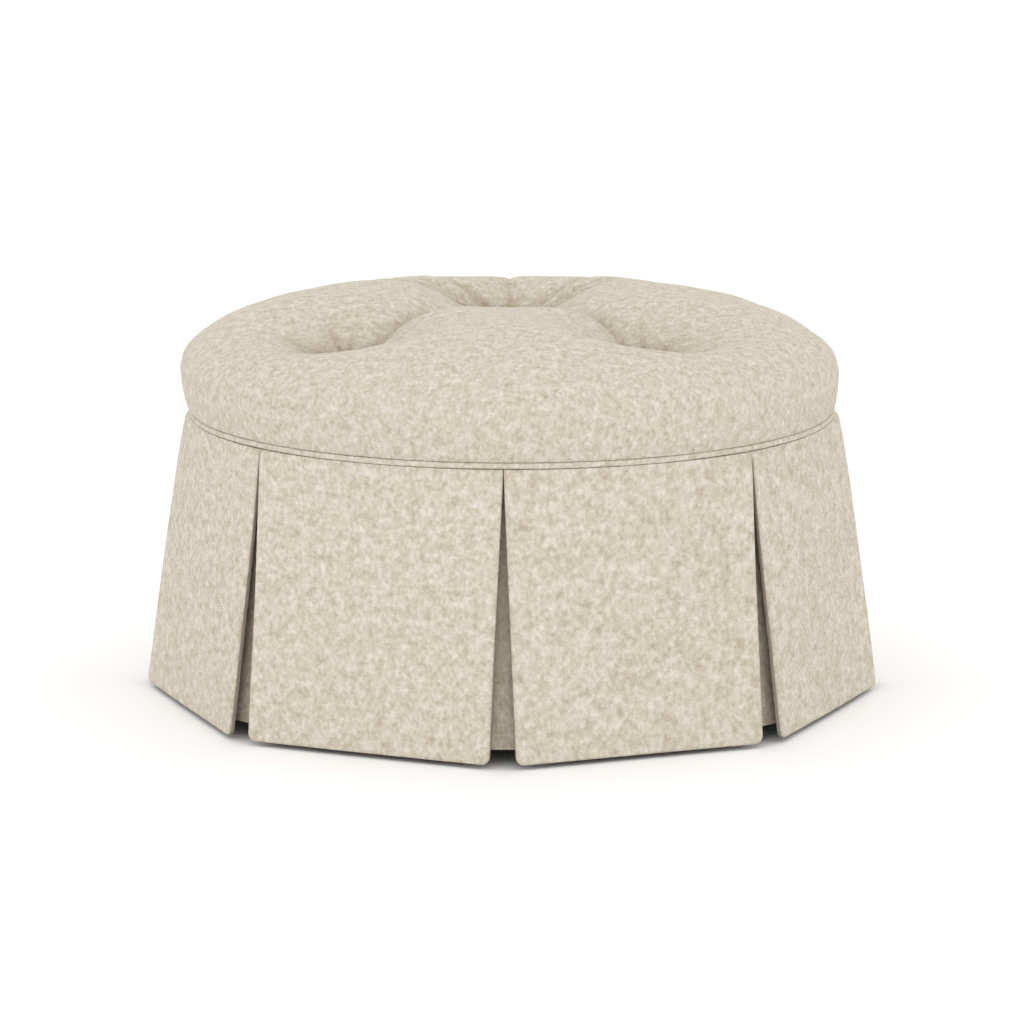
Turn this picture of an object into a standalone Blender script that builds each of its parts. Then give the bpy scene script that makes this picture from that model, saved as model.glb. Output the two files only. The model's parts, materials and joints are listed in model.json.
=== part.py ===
# Round upholstered ottoman: a button-tufted pad on a drum frame, with a kick-pleat skirt.
# Lengths are in metres and +Z is up. The origin is on the floor, under the middle.
# The front is at -Y, where one of the pleats faces.

import math

import bmesh
import bpy
from mathutils import Matrix, Vector
from mathutils.geometry import delaunay_2d_cdt, intersect_point_line

# Fits and facets
TOUCH_GAP = 0.0003  # left between pieces that lie against each other
PANEL_COUNT = 8  # skirt panels round the ottoman
PANEL_COLUMNS = 7  # facets across a panel
RING_STEPS = PANEL_COUNT * PANEL_COLUMNS  # the same on every board and ring, so that they nest
SMALL_STEPS = 12  # facets round buttons, bolts, glides and twines
SMOOTH_ANGLE = 35  # edges that fold more than this, in degrees, are shaded sharp
MERGE_DISTANCE = 0.00001

# Drum frame
FRAME_RADIUS = 0.386  # base board and deck board
BASE_THICKNESS = 0.015
DECK_THICKNESS = 0.018
POST_COUNT = 4
POST_HEIGHT = 0.2516
POST_WIDTH = 0.040
POST_INSET = 0.026  # board edge to the middle of a post
POST_BEVEL = 0.002
BAND_THICKNESS = 0.004  # bent ply wrapped round both boards

# Legs
LEG_COUNT = 4
LEG_HEIGHT = 0.070
LEG_TOP_WIDTH = 0.045
LEG_FOOT_WIDTH = 0.034
LEG_INSET = 0.086  # board edge to the middle of a leg
LEG_BEVEL = 0.002
BOLT_RADIUS = 0.004
BOLT_HEAD_RADIUS = 0.009
BOLT_HEAD_HEIGHT = 0.004
BOLT_CROWN_RADIUS = 0.006  # flat on top of the domed head
BOLT_DEPTH_IN_LEG = 0.042
GLIDE_RADIUS = 0.011
GLIDE_HEIGHT = 0.006
GLIDE_EDGE = 0.002  # slope of the glide's rim
GLIDE_PIN_RADIUS = 0.0015
GLIDE_PIN_LENGTH = 0.012
DUST_COVER_THICKNESS = 0.0008
DUST_COVER_INSET = 0.008  # board edge to the edge of the cloth
DUST_COVER_LEG_MARGIN = 0.001  # cloth cut back round each leg

# Layers at the edge of the deck, from the band outwards
COVER_THICKNESS = 0.0015
WELT_FLANGE_THICKNESS = 0.0012
TACK_STRIP_THICKNESS = 0.0014
UNDERLAY_THICKNESS = 0.0020
PANEL_CLOTH = 0.0011  # one layer of the folded panel
STIFFENER_THICKNESS = 0.0014
WELT_RADIUS = 0.00375
WELT_PROUD = 0.0025  # cord beyond the face of the skirt
WELT_BELOW_DECK_TOP = 0.006
WELT_SEAM_THICKNESS = 0.0016  # cloth between the cord and its flange
WELT_ARC_STEPS = 8
WELT_FLANGE_DEPTH = 0.014
TACK_STRIP_DEPTH = 0.012
COVER_TUCK = 0.014  # cover below the middle of the cord, where it is stapled

# Skirt
PLEAT_CLEARANCE = 0.0006  # between neighbouring panels at the welt
PLEAT_OPENING = 0.037  # between neighbouring panels at the hem
HEM_CLEARANCE = 0.006  # floor to hem
HEM_FLARE = 0.0670  # hem corner beyond the face of the skirt at the welt
SKIRT_SHOULDER = 0.012  # height over which the skirt leaves the round of the deck
CORNER_STAND = 0.35  # 0 keeps the skirt round under the welt, 1 makes each panel flat there
PANEL_CORNER = 0.010  # rounding of a panel's lower corners
STIFFENER_SETBACK = 0.004  # below the sewn edge of the panel
UNDERLAY_WIDTH = 0.110  # at its hem
UNDERLAY_SETBACK = 0.002  # behind the panels at its hem
UNDERLAY_COLUMNS = 2
UNDERLAY_LIFT = 0.014  # underlay hem above the panels' hem
PANEL_ROWS = 4
CORNER_ROWS = 2
POCKET_OVERRUN = 0.004  # cutter above the open top of a panel

# Pad
PAD_CROWN = 0.1285  # deck top to the untufted crown
PAD_BULGE = 0.0109  # widest girth beyond the face of the skirt
PAD_GIRTH_HEIGHT = 0.0403  # deck top to the widest girth
PAD_SHOULDER = 0.2040  # the crown curves down over this last part of the radius
PAD_SQUARENESS = 2.2  # exponent of the shoulder's curve
PAD_SHOULDER_ANGLES = (18, 36, 54)  # rows of the shoulder, in degrees
PAD_UNDER_ANGLE = 50  # row between the welt and the widest girth, in degrees
PAD_ABOVE_CORD = 0.0008  # cover clears the cord by this much before it swells out
FOAM_INSET = 0.014  # board edge to the side of the foam
FOAM_EDGE = 0.022  # rounding of the foam's upper edge
FOAM_EDGE_STEPS = 4
BATTING_AT_TUFT = 0.0022  # batting left under a pulled-down button

# Tufts, their places in shares of the frame's radius: right, back and left
TUFT_PLACES = ((0.435, -0.337), (-0.021, 0.466), (-0.510, -0.342))
TUFT_DEPTH = 0.050
TUFT_SPREAD = 0.096
TUFT_SHARPNESS = 2.2
FOLD_DEPTH = 0.009  # valleys from the back tuft to the others, and from each tuft to the edge
FOLD_SPREAD = 0.022
HOLLOW_DEPTH = 0.014  # broad hollow between the tufts
HOLLOW_PLACE = (0.0, 0.13)  # in shares of the frame's radius
HOLLOW_REACH = (0.36, 0.23)
SINK_FADE = 8  # exponent that ends the folds near the widest girth
BUTTON_RADIUS = 0.0110
BUTTON_HEIGHT = 0.0065
BUTTON_FOOT = 0.0015  # height and slope of the button's rim
BUTTON_MARGIN = 0.0025  # flat cloth round the foot of a button
BUTTON_DOME_STEPS = 4
TWINE_RADIUS = 0.0011
TWINE_CLEARANCE = 0.0024  # round the twine in cloth, foam and wood
ANCHOR_RADIUS = 0.014
ANCHOR_THICKNESS = 0.004

# Net of points on the crown, denser round the tufts
NET_SPACING = 0.046
NET_LEAST = 0.6  # share of the spacing that points of the net keep at least
NET_RINGS = ((0.0, 8), (0.020, 10), (0.048, 12))  # beyond the button's flat: offset, points
HOLE_POINTS = 6

# Heights and radii that follow from the sizes above
LEG_FOOT_Z = GLIDE_HEIGHT + TOUCH_GAP
LEG_TOP_Z = LEG_FOOT_Z + LEG_HEIGHT
BASE_BOTTOM_Z = LEG_TOP_Z + TOUCH_GAP
BASE_TOP_Z = BASE_BOTTOM_Z + BASE_THICKNESS
POST_BOTTOM_Z = BASE_TOP_Z + TOUCH_GAP
DECK_BOTTOM_Z = POST_BOTTOM_Z + POST_HEIGHT + TOUCH_GAP
DECK_TOP_Z = DECK_BOTTOM_Z + DECK_THICKNESS
WELT_Z = DECK_TOP_Z - WELT_BELOW_DECK_TOP
SKIRT_TOP_Z = WELT_Z - WELT_RADIUS - TOUCH_GAP
SHOULDER_Z = SKIRT_TOP_Z - SKIRT_SHOULDER
STIFFENER_TOP_Z = SKIRT_TOP_Z - STIFFENER_SETBACK

BAND_INNER = FRAME_RADIUS + TOUCH_GAP
BAND_OUTER = BAND_INNER + BAND_THICKNESS
COVER_OUTER = BAND_OUTER + TOUCH_GAP + COVER_THICKNESS
FLANGE_INNER = COVER_OUTER + TOUCH_GAP
FLANGE_OUTER = FLANGE_INNER + WELT_FLANGE_THICKNESS
STRIP_INNER = FLANGE_OUTER + TOUCH_GAP
STRIP_OUTER = STRIP_INNER + TACK_STRIP_THICKNESS
UNDERLAY_FACE = STRIP_OUTER + TOUCH_GAP + UNDERLAY_THICKNESS
PANEL_THICKNESS = 2 * PANEL_CLOTH + STIFFENER_THICKNESS + 2 * TOUCH_GAP
PANEL_FACE = UNDERLAY_FACE + TOUCH_GAP + PANEL_THICKNESS
WELT_CENTRE = PANEL_FACE + WELT_PROUD - WELT_RADIUS

# The hem is a polygon, and the top of the skirt follows the welt
PANEL_HALF_ANGLE = math.pi / PANEL_COUNT
HEM_CORNER_RADIUS = PANEL_FACE + HEM_FLARE
HEM_APOTHEM = HEM_CORNER_RADIUS * math.cos(PANEL_HALF_ANGLE)
PANEL_HEM_HALF = HEM_CORNER_RADIUS * math.sin(PANEL_HALF_ANGLE) - PLEAT_OPENING / 2
PANEL_TOP_HALF = PANEL_FACE * PANEL_HALF_ANGLE - PLEAT_CLEARANCE / 2
UNDERLAY_HEM_FACE = (
    (HEM_APOTHEM - PANEL_THICKNESS) / math.cos(PANEL_HALF_ANGLE)
    - UNDERLAY_WIDTH / 2 * math.tan(PANEL_HALF_ANGLE)
    - UNDERLAY_SETBACK
)
UNDERLAY_TOP_HALF = UNDERLAY_FACE * math.tau / RING_STEPS
FRONT_ANGLE = -math.pi / 2

PAD_GIRTH = PANEL_FACE + PAD_BULGE
PAD_FLAT_RADIUS = PAD_GIRTH - PAD_SHOULDER
PAD_TOP_Z = DECK_TOP_Z + PAD_CROWN
PAD_GIRTH_Z = DECK_TOP_Z + PAD_GIRTH_HEIGHT
PAD_SEAT_Z = WELT_Z + WELT_RADIUS + PAD_ABOVE_CORD
TWINE_HOLE_RADIUS = TWINE_RADIUS + TWINE_CLEARANCE
BUTTON_FLAT_RADIUS = BUTTON_RADIUS + BUTTON_MARGIN
ANCHOR_TOP_Z = DECK_BOTTOM_Z - TOUCH_GAP

# Colour, roughness and metallic value of each material
MATERIALS = {
    "linen": ((0.68, 0.62, 0.51), 0.90, 0.0),
    "batting": ((0.86, 0.86, 0.84), 0.95, 0.0),
    "foam": ((0.83, 0.77, 0.60), 0.95, 0.0),
    "plywood": ((0.66, 0.49, 0.30), 0.65, 0.0),
    "hardwood": ((0.42, 0.27, 0.15), 0.50, 0.0),
    "steel": ((0.60, 0.61, 0.62), 0.35, 1.0),
    "nylon": ((0.10, 0.10, 0.10), 0.45, 0.0),
    "card": ((0.55, 0.46, 0.34), 0.85, 0.0),
    "buckram": ((0.80, 0.77, 0.68), 0.90, 0.0),
    "twine": ((0.75, 0.70, 0.58), 0.80, 0.0),
    "cambric": ((0.03, 0.03, 0.03), 0.90, 0.0),
}


# Scene, objects and modifiers

def clear_scene():
    for item in list(bpy.data.objects):
        bpy.data.objects.remove(item, do_unlink=True)


def new_collection(name):
    collection = bpy.data.collections.new(name)
    bpy.context.scene.collection.children.link(collection)
    return collection


def make_material(name):
    colour, roughness, metallic = MATERIALS[name]
    material = bpy.data.materials.new(name)
    material.use_nodes = True
    shader = material.node_tree.nodes["Principled BSDF"]
    shader.inputs["Base Color"].default_value = (*colour, 1.0)
    shader.inputs["Roughness"].default_value = roughness
    shader.inputs["Metallic"].default_value = metallic
    return material


def add_part(name, mesh, material, location=(0, 0, 0), angle=0.0):
    part = bpy.data.objects.new(name, mesh)
    ottoman.objects.link(part)
    part.location = location
    part.rotation_euler.z = angle
    if not mesh.materials:
        mesh.materials.append(materials[material])
    return part


def add_cutter(name, mesh, location=(0, 0, 0), angle=0.0):
    cutter = bpy.data.objects.new(name, mesh)
    cutters.objects.link(cutter)
    cutter.location = location
    cutter.rotation_euler.z = angle
    cutter.display_type = "WIRE"
    cutter.hide_render = True
    return cutter


def cut(part, cutter):
    modifier = part.modifiers.new(cutter.name, "BOOLEAN")
    modifier.operation = "DIFFERENCE"
    modifier.solver = "EXACT"
    modifier.object = cutter


def add_bevel(part, width):
    modifier = part.modifiers.new("eased edges", "BEVEL")
    modifier.width = width
    modifier.segments = 1
    modifier.limit_method = "ANGLE"


def add_screw(part, steps):
    modifier = part.modifiers.new("turned", "SCREW")
    modifier.steps = steps
    modifier.render_steps = steps
    modifier.use_merge_vertices = True
    modifier.merge_threshold = MERGE_DISTANCE


# Meshes

def mesh_from(bm, name):
    mesh = bpy.data.meshes.new(name)
    bm.to_mesh(mesh)
    bm.free()
    mesh.shade_smooth()
    mesh.set_sharp_from_angle(angle=math.radians(SMOOTH_ANGLE))
    return mesh


def polar(radius, angle, z=0.0):
    return Vector((radius * math.cos(angle), radius * math.sin(angle), z))


def round_bar(name, radius, bottom_z, top_z, steps=SMALL_STEPS):
    bm = bmesh.new()
    bmesh.ops.create_cone(
        bm, cap_ends=True, segments=steps, radius1=radius, radius2=radius,
        depth=top_z - bottom_z, matrix=Matrix.Translation((0, 0, (bottom_z + top_z) / 2)),
    )
    return mesh_from(bm, name)


def square_bar(name, bottom_width, top_width, bottom_z, top_z):
    bm = bmesh.new()
    turn = Matrix.Rotation(math.pi / 4, 4, "Z")
    bmesh.ops.create_cone(
        bm, cap_ends=True, segments=4, depth=top_z - bottom_z,
        radius1=bottom_width / math.sqrt(2), radius2=top_width / math.sqrt(2),
        matrix=Matrix.Translation((0, 0, (bottom_z + top_z) / 2)) @ turn,
    )
    mesh = bpy.data.meshes.new(name)
    bm.to_mesh(mesh)
    bm.free()
    return mesh


def profile_mesh(name, profile, closed=False):
    # The profile runs down its outer side, and a closed one is the section of a ring
    bm = bmesh.new()
    points = [bm.verts.new((radius, 0, z)) for radius, z in profile]
    for first, second in zip(points, points[1:]):
        bm.edges.new((first, second))
    if closed:
        bm.edges.new((points[-1], points[0]))
    mesh = bpy.data.meshes.new(name)
    bm.to_mesh(mesh)
    bm.free()
    return mesh


def arc(centre_radius, centre_z, size, start, end, steps):
    turns = [math.radians(start + (end - start) * step / steps) for step in range(steps + 1)]
    return [(centre_radius + size * math.cos(a), centre_z + size * math.sin(a)) for a in turns]


def add_ring(name, inner, outer, bottom_z, top_z, material):
    section = [(inner, top_z), (outer, top_z), (outer, bottom_z), (inner, bottom_z)]
    ring = add_part(name, profile_mesh(name, section, closed=True), material)
    add_screw(ring, RING_STEPS)
    return ring


# Drum frame

def ring_angles(count, offset):
    return [FRONT_ANGLE + (number + offset) * 2 * math.pi / count for number in range(count)]


def add_frame():
    base = add_part(
        "base_board", round_bar("base_board", FRAME_RADIUS, BASE_BOTTOM_Z, BASE_TOP_Z, RING_STEPS),
        "plywood",
    )
    deck = add_part(
        "deck_board", round_bar("deck_board", FRAME_RADIUS, DECK_BOTTOM_Z, DECK_TOP_Z, RING_STEPS),
        "plywood",
    )
    post_mesh = square_bar(
        "frame_post", POST_WIDTH, POST_WIDTH, POST_BOTTOM_Z, POST_BOTTOM_Z + POST_HEIGHT,
    )
    for number, angle in enumerate(ring_angles(POST_COUNT, 0), 1):
        place = polar(FRAME_RADIUS - POST_INSET, angle)
        post = add_part(f"frame_post_{number}", post_mesh, "hardwood", place, angle)
        add_bevel(post, POST_BEVEL)
    add_ring("frame_band", BAND_INNER, BAND_OUTER, BASE_BOTTOM_Z, DECK_TOP_Z, "plywood")
    return base, deck


def leg_places():
    angles = ring_angles(LEG_COUNT, 0.5)
    return [(polar(FRAME_RADIUS - LEG_INSET, angle), angle) for angle in angles]


def add_legs(base):
    leg_mesh = square_bar("leg", LEG_FOOT_WIDTH, LEG_TOP_WIDTH, LEG_FOOT_Z, LEG_TOP_Z)
    bolt_tip = LEG_TOP_Z - BOLT_DEPTH_IN_LEG
    bolt_hole = round_bar(
        "bolt_hole", BOLT_RADIUS + TOUCH_GAP, bolt_tip - TOUCH_GAP, BASE_TOP_Z + BOLT_HEAD_HEIGHT,
    )
    pin_hole = round_bar(
        "pin_hole", GLIDE_PIN_RADIUS + TOUCH_GAP,
        GLIDE_HEIGHT - TOUCH_GAP, GLIDE_HEIGHT + GLIDE_PIN_LENGTH + TOUCH_GAP,
    )
    head_bottom = BASE_TOP_Z + TOUCH_GAP
    bolt_mesh = profile_mesh("leg_bolt", [
        (0, head_bottom + BOLT_HEAD_HEIGHT),
        (BOLT_CROWN_RADIUS, head_bottom + BOLT_HEAD_HEIGHT),
        (BOLT_HEAD_RADIUS, head_bottom + BOLT_HEAD_HEIGHT / 2),
        (BOLT_HEAD_RADIUS, head_bottom),
        (BOLT_RADIUS, head_bottom),
        (BOLT_RADIUS, bolt_tip),
        (0, bolt_tip),
    ])
    glide_mesh = profile_mesh("glide", [
        (0, GLIDE_HEIGHT + GLIDE_PIN_LENGTH),
        (GLIDE_PIN_RADIUS, GLIDE_HEIGHT + GLIDE_PIN_LENGTH),
        (GLIDE_PIN_RADIUS, GLIDE_HEIGHT),
        (GLIDE_RADIUS, GLIDE_HEIGHT),
        (GLIDE_RADIUS, GLIDE_EDGE),
        (GLIDE_RADIUS - GLIDE_EDGE, 0),
        (0, 0),
    ])
    for number, (place, angle) in enumerate(leg_places(), 1):
        leg = add_part(f"leg_{number}", leg_mesh, "hardwood", place, angle)
        add_bevel(leg, LEG_BEVEL)
        bolt_cutter = add_cutter(f"bolt_hole_{number}", bolt_hole, place)
        cut(leg, bolt_cutter)
        cut(base, bolt_cutter)
        cut(leg, add_cutter(f"pin_hole_{number}", pin_hole, place))
        add_screw(add_part(f"leg_bolt_{number}", bolt_mesh, "steel", place), SMALL_STEPS)
        add_screw(add_part(f"glide_{number}", glide_mesh, "nylon", place), SMALL_STEPS)


def add_dust_cover():
    top_z = BASE_BOTTOM_Z - TOUCH_GAP
    bottom_z = top_z - DUST_COVER_THICKNESS
    radius = FRAME_RADIUS - DUST_COVER_INSET
    cloth = add_part(
        "dust_cover", round_bar("dust_cover", radius, bottom_z, top_z, RING_STEPS), "cambric",
    )
    width = LEG_TOP_WIDTH + 2 * DUST_COVER_LEG_MARGIN
    opening = square_bar(
        "leg_opening", width, width, bottom_z - DUST_COVER_THICKNESS, top_z + DUST_COVER_THICKNESS,
    )
    for number, (place, angle) in enumerate(leg_places(), 1):
        cut(cloth, add_cutter(f"leg_opening_{number}", opening, place, angle))


# Pad

def tuft_places():
    return [Vector((x, y, 0.0)) * FRAME_RADIUS for x, y in TUFT_PLACES]


def fold_lines():
    tufts = tuft_places()
    between = list(zip(tufts, tufts[1:]))
    outward = [(tuft, tuft * (PAD_GIRTH / tuft.length)) for tuft in tufts]
    return between, outward


def distance_to_line(point, line):
    nearest, share = intersect_point_line(point, *line)
    share = min(1.0, max(0.0, share))
    return (point - line[0].lerp(line[1], share)).length


def sink(point):
    # How far the buttons, the valleys and the hollow pull the crown down
    dents = []
    for tuft in tuft_places():
        reach = max(0.0, (point - tuft).length - BUTTON_FLAT_RADIUS)
        dents.append(math.exp(-((reach / TUFT_SPREAD) ** TUFT_SHARPNESS)))
    between, outward = fold_lines()
    nearest = min(distance_to_line(point, line) for line in between + outward)
    valley = FOLD_DEPTH * math.exp(-((nearest / FOLD_SPREAD) ** 2))
    hollow = HOLLOW_DEPTH * math.exp(-sum(
        ((at / FRAME_RADIUS - middle) / reach) ** 2
        for at, middle, reach in zip(point, HOLLOW_PLACE, HOLLOW_REACH)
    ))
    fade = 1 - min(1.0, point.length / PAD_GIRTH) ** SINK_FADE
    return (TUFT_DEPTH * math.hypot(*dents) + (valley + hollow) * (1 - max(dents))) * fade


def pad_height(point):
    share = max(0.0, (point.length - PAD_FLAT_RADIUS) / PAD_SHOULDER)
    curve = max(0.0, 1 - share ** PAD_SQUARENESS) ** (1 / PAD_SQUARENESS)
    return PAD_GIRTH_Z + (PAD_TOP_Z - PAD_GIRTH_Z) * curve - sink(point)


def shoulder_radius(angle):
    return PAD_FLAT_RADIUS + PAD_SHOULDER * math.cos(math.radians(angle)) ** (2 / PAD_SQUARENESS)


def crown_row(radius):
    angles = ring_angles(RING_STEPS, 0)
    points = [polar(radius, angle) for angle in angles]
    return [Vector((p.x, p.y, pad_height(p))) for p in points]


def side_rows():
    angles = ring_angles(RING_STEPS, 0)
    turn = math.radians(PAD_UNDER_ANGLE)
    levels = [
        (COVER_OUTER, WELT_Z - COVER_TUCK),
        (COVER_OUTER, PAD_SEAT_Z),
        (
            COVER_OUTER + (PAD_GIRTH - COVER_OUTER) * math.sin(turn),
            PAD_SEAT_Z + (PAD_GIRTH_Z - PAD_SEAT_Z) * (1 - math.cos(turn)),
        ),
        (PAD_GIRTH, PAD_GIRTH_Z),
    ]
    rows = [[polar(radius, angle, z) for angle in angles] for radius, z in levels]
    return rows + [crown_row(shoulder_radius(angle)) for angle in PAD_SHOULDER_ANGLES]


def crown_points():
    # Rings round each tuft, the valleys between them, and a net over the rest
    edge = shoulder_radius(PAD_SHOULDER_ANGLES[-1])
    points = [point.to_2d() for point in crown_row(edge)]
    tufts = [tuft.to_2d() for tuft in tuft_places()]
    rings = [(TWINE_HOLE_RADIUS, HOLE_POINTS)]
    rings += [(BUTTON_FLAT_RADIUS + offset, count) for offset, count in NET_RINGS]
    for tuft in tufts:
        for radius, count in rings:
            points += [tuft + polar(radius, angle).to_2d() for angle in ring_angles(count, 0)]
    clear_of_tuft = rings[-1][0] + NET_SPACING / 2
    between, outward = fold_lines()
    net = []
    for start, end in between + outward:
        count = int((end - start).length / NET_SPACING)
        net += [start.lerp(end, (step + 0.5) / count).to_2d() for step in range(count)]
    radius = edge - NET_SPACING
    while radius > NET_SPACING / 2:
        count = round(2 * math.pi * radius / NET_SPACING)
        net += [polar(radius, angle).to_2d() for angle in ring_angles(count, 0)]
        radius -= NET_SPACING
    net.append(Vector((0.0, 0.0)))
    kept = []
    for point in net:
        near_tuft = any((point - tuft).length < clear_of_tuft for tuft in tufts)
        near_other = any((point - other).length < NET_LEAST * NET_SPACING for other in kept)
        if not near_tuft and not near_other and point.length < edge - NET_SPACING / 2:
            kept.append(point)
    return points + kept


def pad_skin():
    # The outer face of the cover: rings up the side, and a triangle net over the crown
    bm = bmesh.new()
    rows = [[bm.verts.new(point) for point in row] for row in side_rows()]
    for lower, upper in zip(rows, rows[1:]):
        for step in range(RING_STEPS):
            after = (step + 1) % RING_STEPS
            bm.faces.new((lower[step], lower[after], upper[after], upper[step]))
    corners, _, faces, _, _, _ = delaunay_2d_cdt(crown_points(), [], [], 0, MERGE_DISTANCE)
    crown = [bm.verts.new((c.x, c.y, pad_height(Vector((c.x, c.y, 0))))) for c in corners]
    tufts = [tuft.to_2d() for tuft in tuft_places()]
    hole = TWINE_HOLE_RADIUS * math.cos(math.pi / HOLE_POINTS)
    for face in faces:
        middle = sum((corners[index] for index in face), Vector((0.0, 0.0))) / len(face)
        if all((middle - tuft).length > hole for tuft in tufts):
            bm.faces.new([crown[index] for index in face])
    bmesh.ops.remove_doubles(bm, verts=bm.verts, dist=MERGE_DISTANCE)
    bm.normal_update()
    return bm


def foam_profile(name, side, top_z, bottom_z):
    profile = [(0, top_z)]
    profile += arc(side - FOAM_EDGE, top_z - FOAM_EDGE, FOAM_EDGE, 90, 0, FOAM_EDGE_STEPS)
    profile += [(side, bottom_z), (0, bottom_z)]
    return profile_mesh(name, profile)


def add_pad(deck):
    tufts = tuft_places()
    well_z = pad_height(tufts[0])
    foam_top = well_z - COVER_THICKNESS - BATTING_AT_TUFT - 3 * TOUCH_GAP
    foam_bottom = DECK_TOP_Z + TOUCH_GAP
    foam_side = FRAME_RADIUS - FOAM_INSET

    foam_mesh = foam_profile("foam_core", foam_side, foam_top, foam_bottom)
    foam = add_part("foam_core", foam_mesh, "foam")
    add_screw(foam, RING_STEPS)

    cover = add_part("cushion_cover", mesh_from(pad_skin(), "cushion_cover"), "linen")
    shell = cover.modifiers.new("cloth", "SOLIDIFY")
    shell.thickness = COVER_THICKNESS
    shell.offset = -1

    filling = pad_skin()
    for vert in filling.verts:
        vert.co -= vert.normal * (COVER_THICKNESS + 2 * TOUCH_GAP)
    open_edges = [edge for edge in filling.edges if edge.is_boundary]
    bmesh.ops.holes_fill(filling, edges=open_edges, sides=0)
    batting = add_part("batting", mesh_from(filling, "batting"), "batting")
    below_deck = round_bar(
        "below_deck", PAD_GIRTH, WELT_Z - 2 * COVER_TUCK, DECK_TOP_Z + TOUCH_GAP, RING_STEPS,
    )
    cut(batting, add_cutter("below_deck", below_deck))
    foam_space = foam_profile(
        "foam_space", foam_side + TOUCH_GAP, foam_top + TOUCH_GAP, foam_bottom - TOUCH_GAP,
    )
    foam_cutter = add_cutter("foam_space", foam_space)
    add_screw(foam_cutter, RING_STEPS)
    cut(batting, foam_cutter)

    hole = round_bar("twine_hole", TWINE_HOLE_RADIUS, DECK_BOTTOM_Z - DECK_THICKNESS, PAD_TOP_Z)
    for number, tuft in enumerate(tufts, 1):
        hole_cutter = add_cutter(f"twine_hole_{number}", hole, tuft)
        for piece in (batting, foam, deck):
            cut(piece, hole_cutter)
    return well_z


def add_tufting(well_z):
    dome = [
        (
            BUTTON_RADIUS * math.sin(turn),
            BUTTON_FOOT + (BUTTON_HEIGHT - BUTTON_FOOT) * math.cos(turn),
        )
        for turn in (
            step * math.pi / 2 / BUTTON_DOME_STEPS for step in range(BUTTON_DOME_STEPS + 1)
        )
    ]
    button_mesh = profile_mesh("tuft_button", dome + [(BUTTON_RADIUS - BUTTON_FOOT, 0), (0, 0)])
    twine_mesh = round_bar("tuft_twine", TWINE_RADIUS, DECK_BOTTOM_Z, well_z)
    anchor_mesh = round_bar(
        "twine_anchor", ANCHOR_RADIUS, ANCHOR_TOP_Z - ANCHOR_THICKNESS, ANCHOR_TOP_Z,
    )
    for number, tuft in enumerate(tuft_places(), 1):
        seat = tuft + Vector((0, 0, well_z + TOUCH_GAP))
        button = add_part(f"tuft_button_{number}", button_mesh, "linen", seat)
        add_screw(button, SMALL_STEPS)
        add_part(f"tuft_twine_{number}", twine_mesh, "twine", tuft)
        add_part(f"twine_anchor_{number}", anchor_mesh, "nylon", tuft)


# Welt and skirt

def add_welt():
    half_seam = WELT_SEAM_THICKNESS / 2
    entry = math.degrees(math.asin(half_seam / WELT_RADIUS))
    section = [(FLANGE_INNER, WELT_Z + half_seam)]
    section += arc(WELT_CENTRE, WELT_Z, WELT_RADIUS, 180 - entry, entry - 180, WELT_ARC_STEPS)
    section += [
        (FLANGE_OUTER, WELT_Z - half_seam),
        (FLANGE_OUTER, WELT_Z - WELT_FLANGE_DEPTH),
        (FLANGE_INNER, WELT_Z - WELT_FLANGE_DEPTH),
    ]
    welt = add_part("welt", profile_mesh("welt", section, closed=True), "linen")
    add_screw(welt, RING_STEPS)
    strip_top = WELT_Z - half_seam - TOUCH_GAP
    add_ring("tack_strip", STRIP_INNER, STRIP_OUTER, strip_top - TACK_STRIP_DEPTH, strip_top, "card")


def sheet_rows(hem_z, top_z, corner):
    # Heights, and how far the edge draws in there: the lower corner first, then the rows
    # of the whole skirt up to its shoulder, so that the layers of a panel bend alike
    turns = [math.pi / 2 * step / CORNER_ROWS for step in range(CORNER_ROWS + 1)]
    rows = [(hem_z + corner * (1 - math.cos(t)), corner * (1 - math.sin(t))) for t in turns]
    lowest = HEM_CLEARANCE + PANEL_CORNER
    spacing = (SHOULDER_Z - lowest) / PANEL_ROWS
    levels = [lowest + spacing * step for step in range(1, PANEL_ROWS + 1)]
    levels = sorted(levels + [STIFFENER_TOP_Z, SKIRT_TOP_Z])
    start = rows[-1][0] + spacing / 2
    rows += [(level, 0.0) for level in levels if start < level < top_z - TOUCH_GAP]
    return rows + [(top_z, 0.0)]


def add_cell(bm, corners, outer):
    # A twisted cell, split along the diagonal that keeps it towards its outer side
    a, b, c, d = corners
    if outer:
        a, b, c, d = b, c, d, a
    bm.faces.new((a, b, c))
    bm.faces.new((a, c, d))


def sheet_point(turn, radius, hem, z):
    # The cloth leaves the round of the deck along the shoulder, where its corners stand off
    # most, and falls straight from there to the hem
    arc_point = Vector((math.cos(turn), math.sin(turn))) * radius
    stood_off = arc_point * (1 + CORNER_STAND * (1 / math.cos(turn) - 1))
    fall = (hem - stood_off) / (SKIRT_TOP_Z - HEM_CLEARANCE)
    if z <= SHOULDER_Z:
        return stood_off + fall * (SKIRT_TOP_Z - z)
    shoulder_point = stood_off + fall * SKIRT_SHOULDER
    return arc_point.lerp(shoulder_point, (SKIRT_TOP_Z - z) / SKIRT_SHOULDER)


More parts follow.
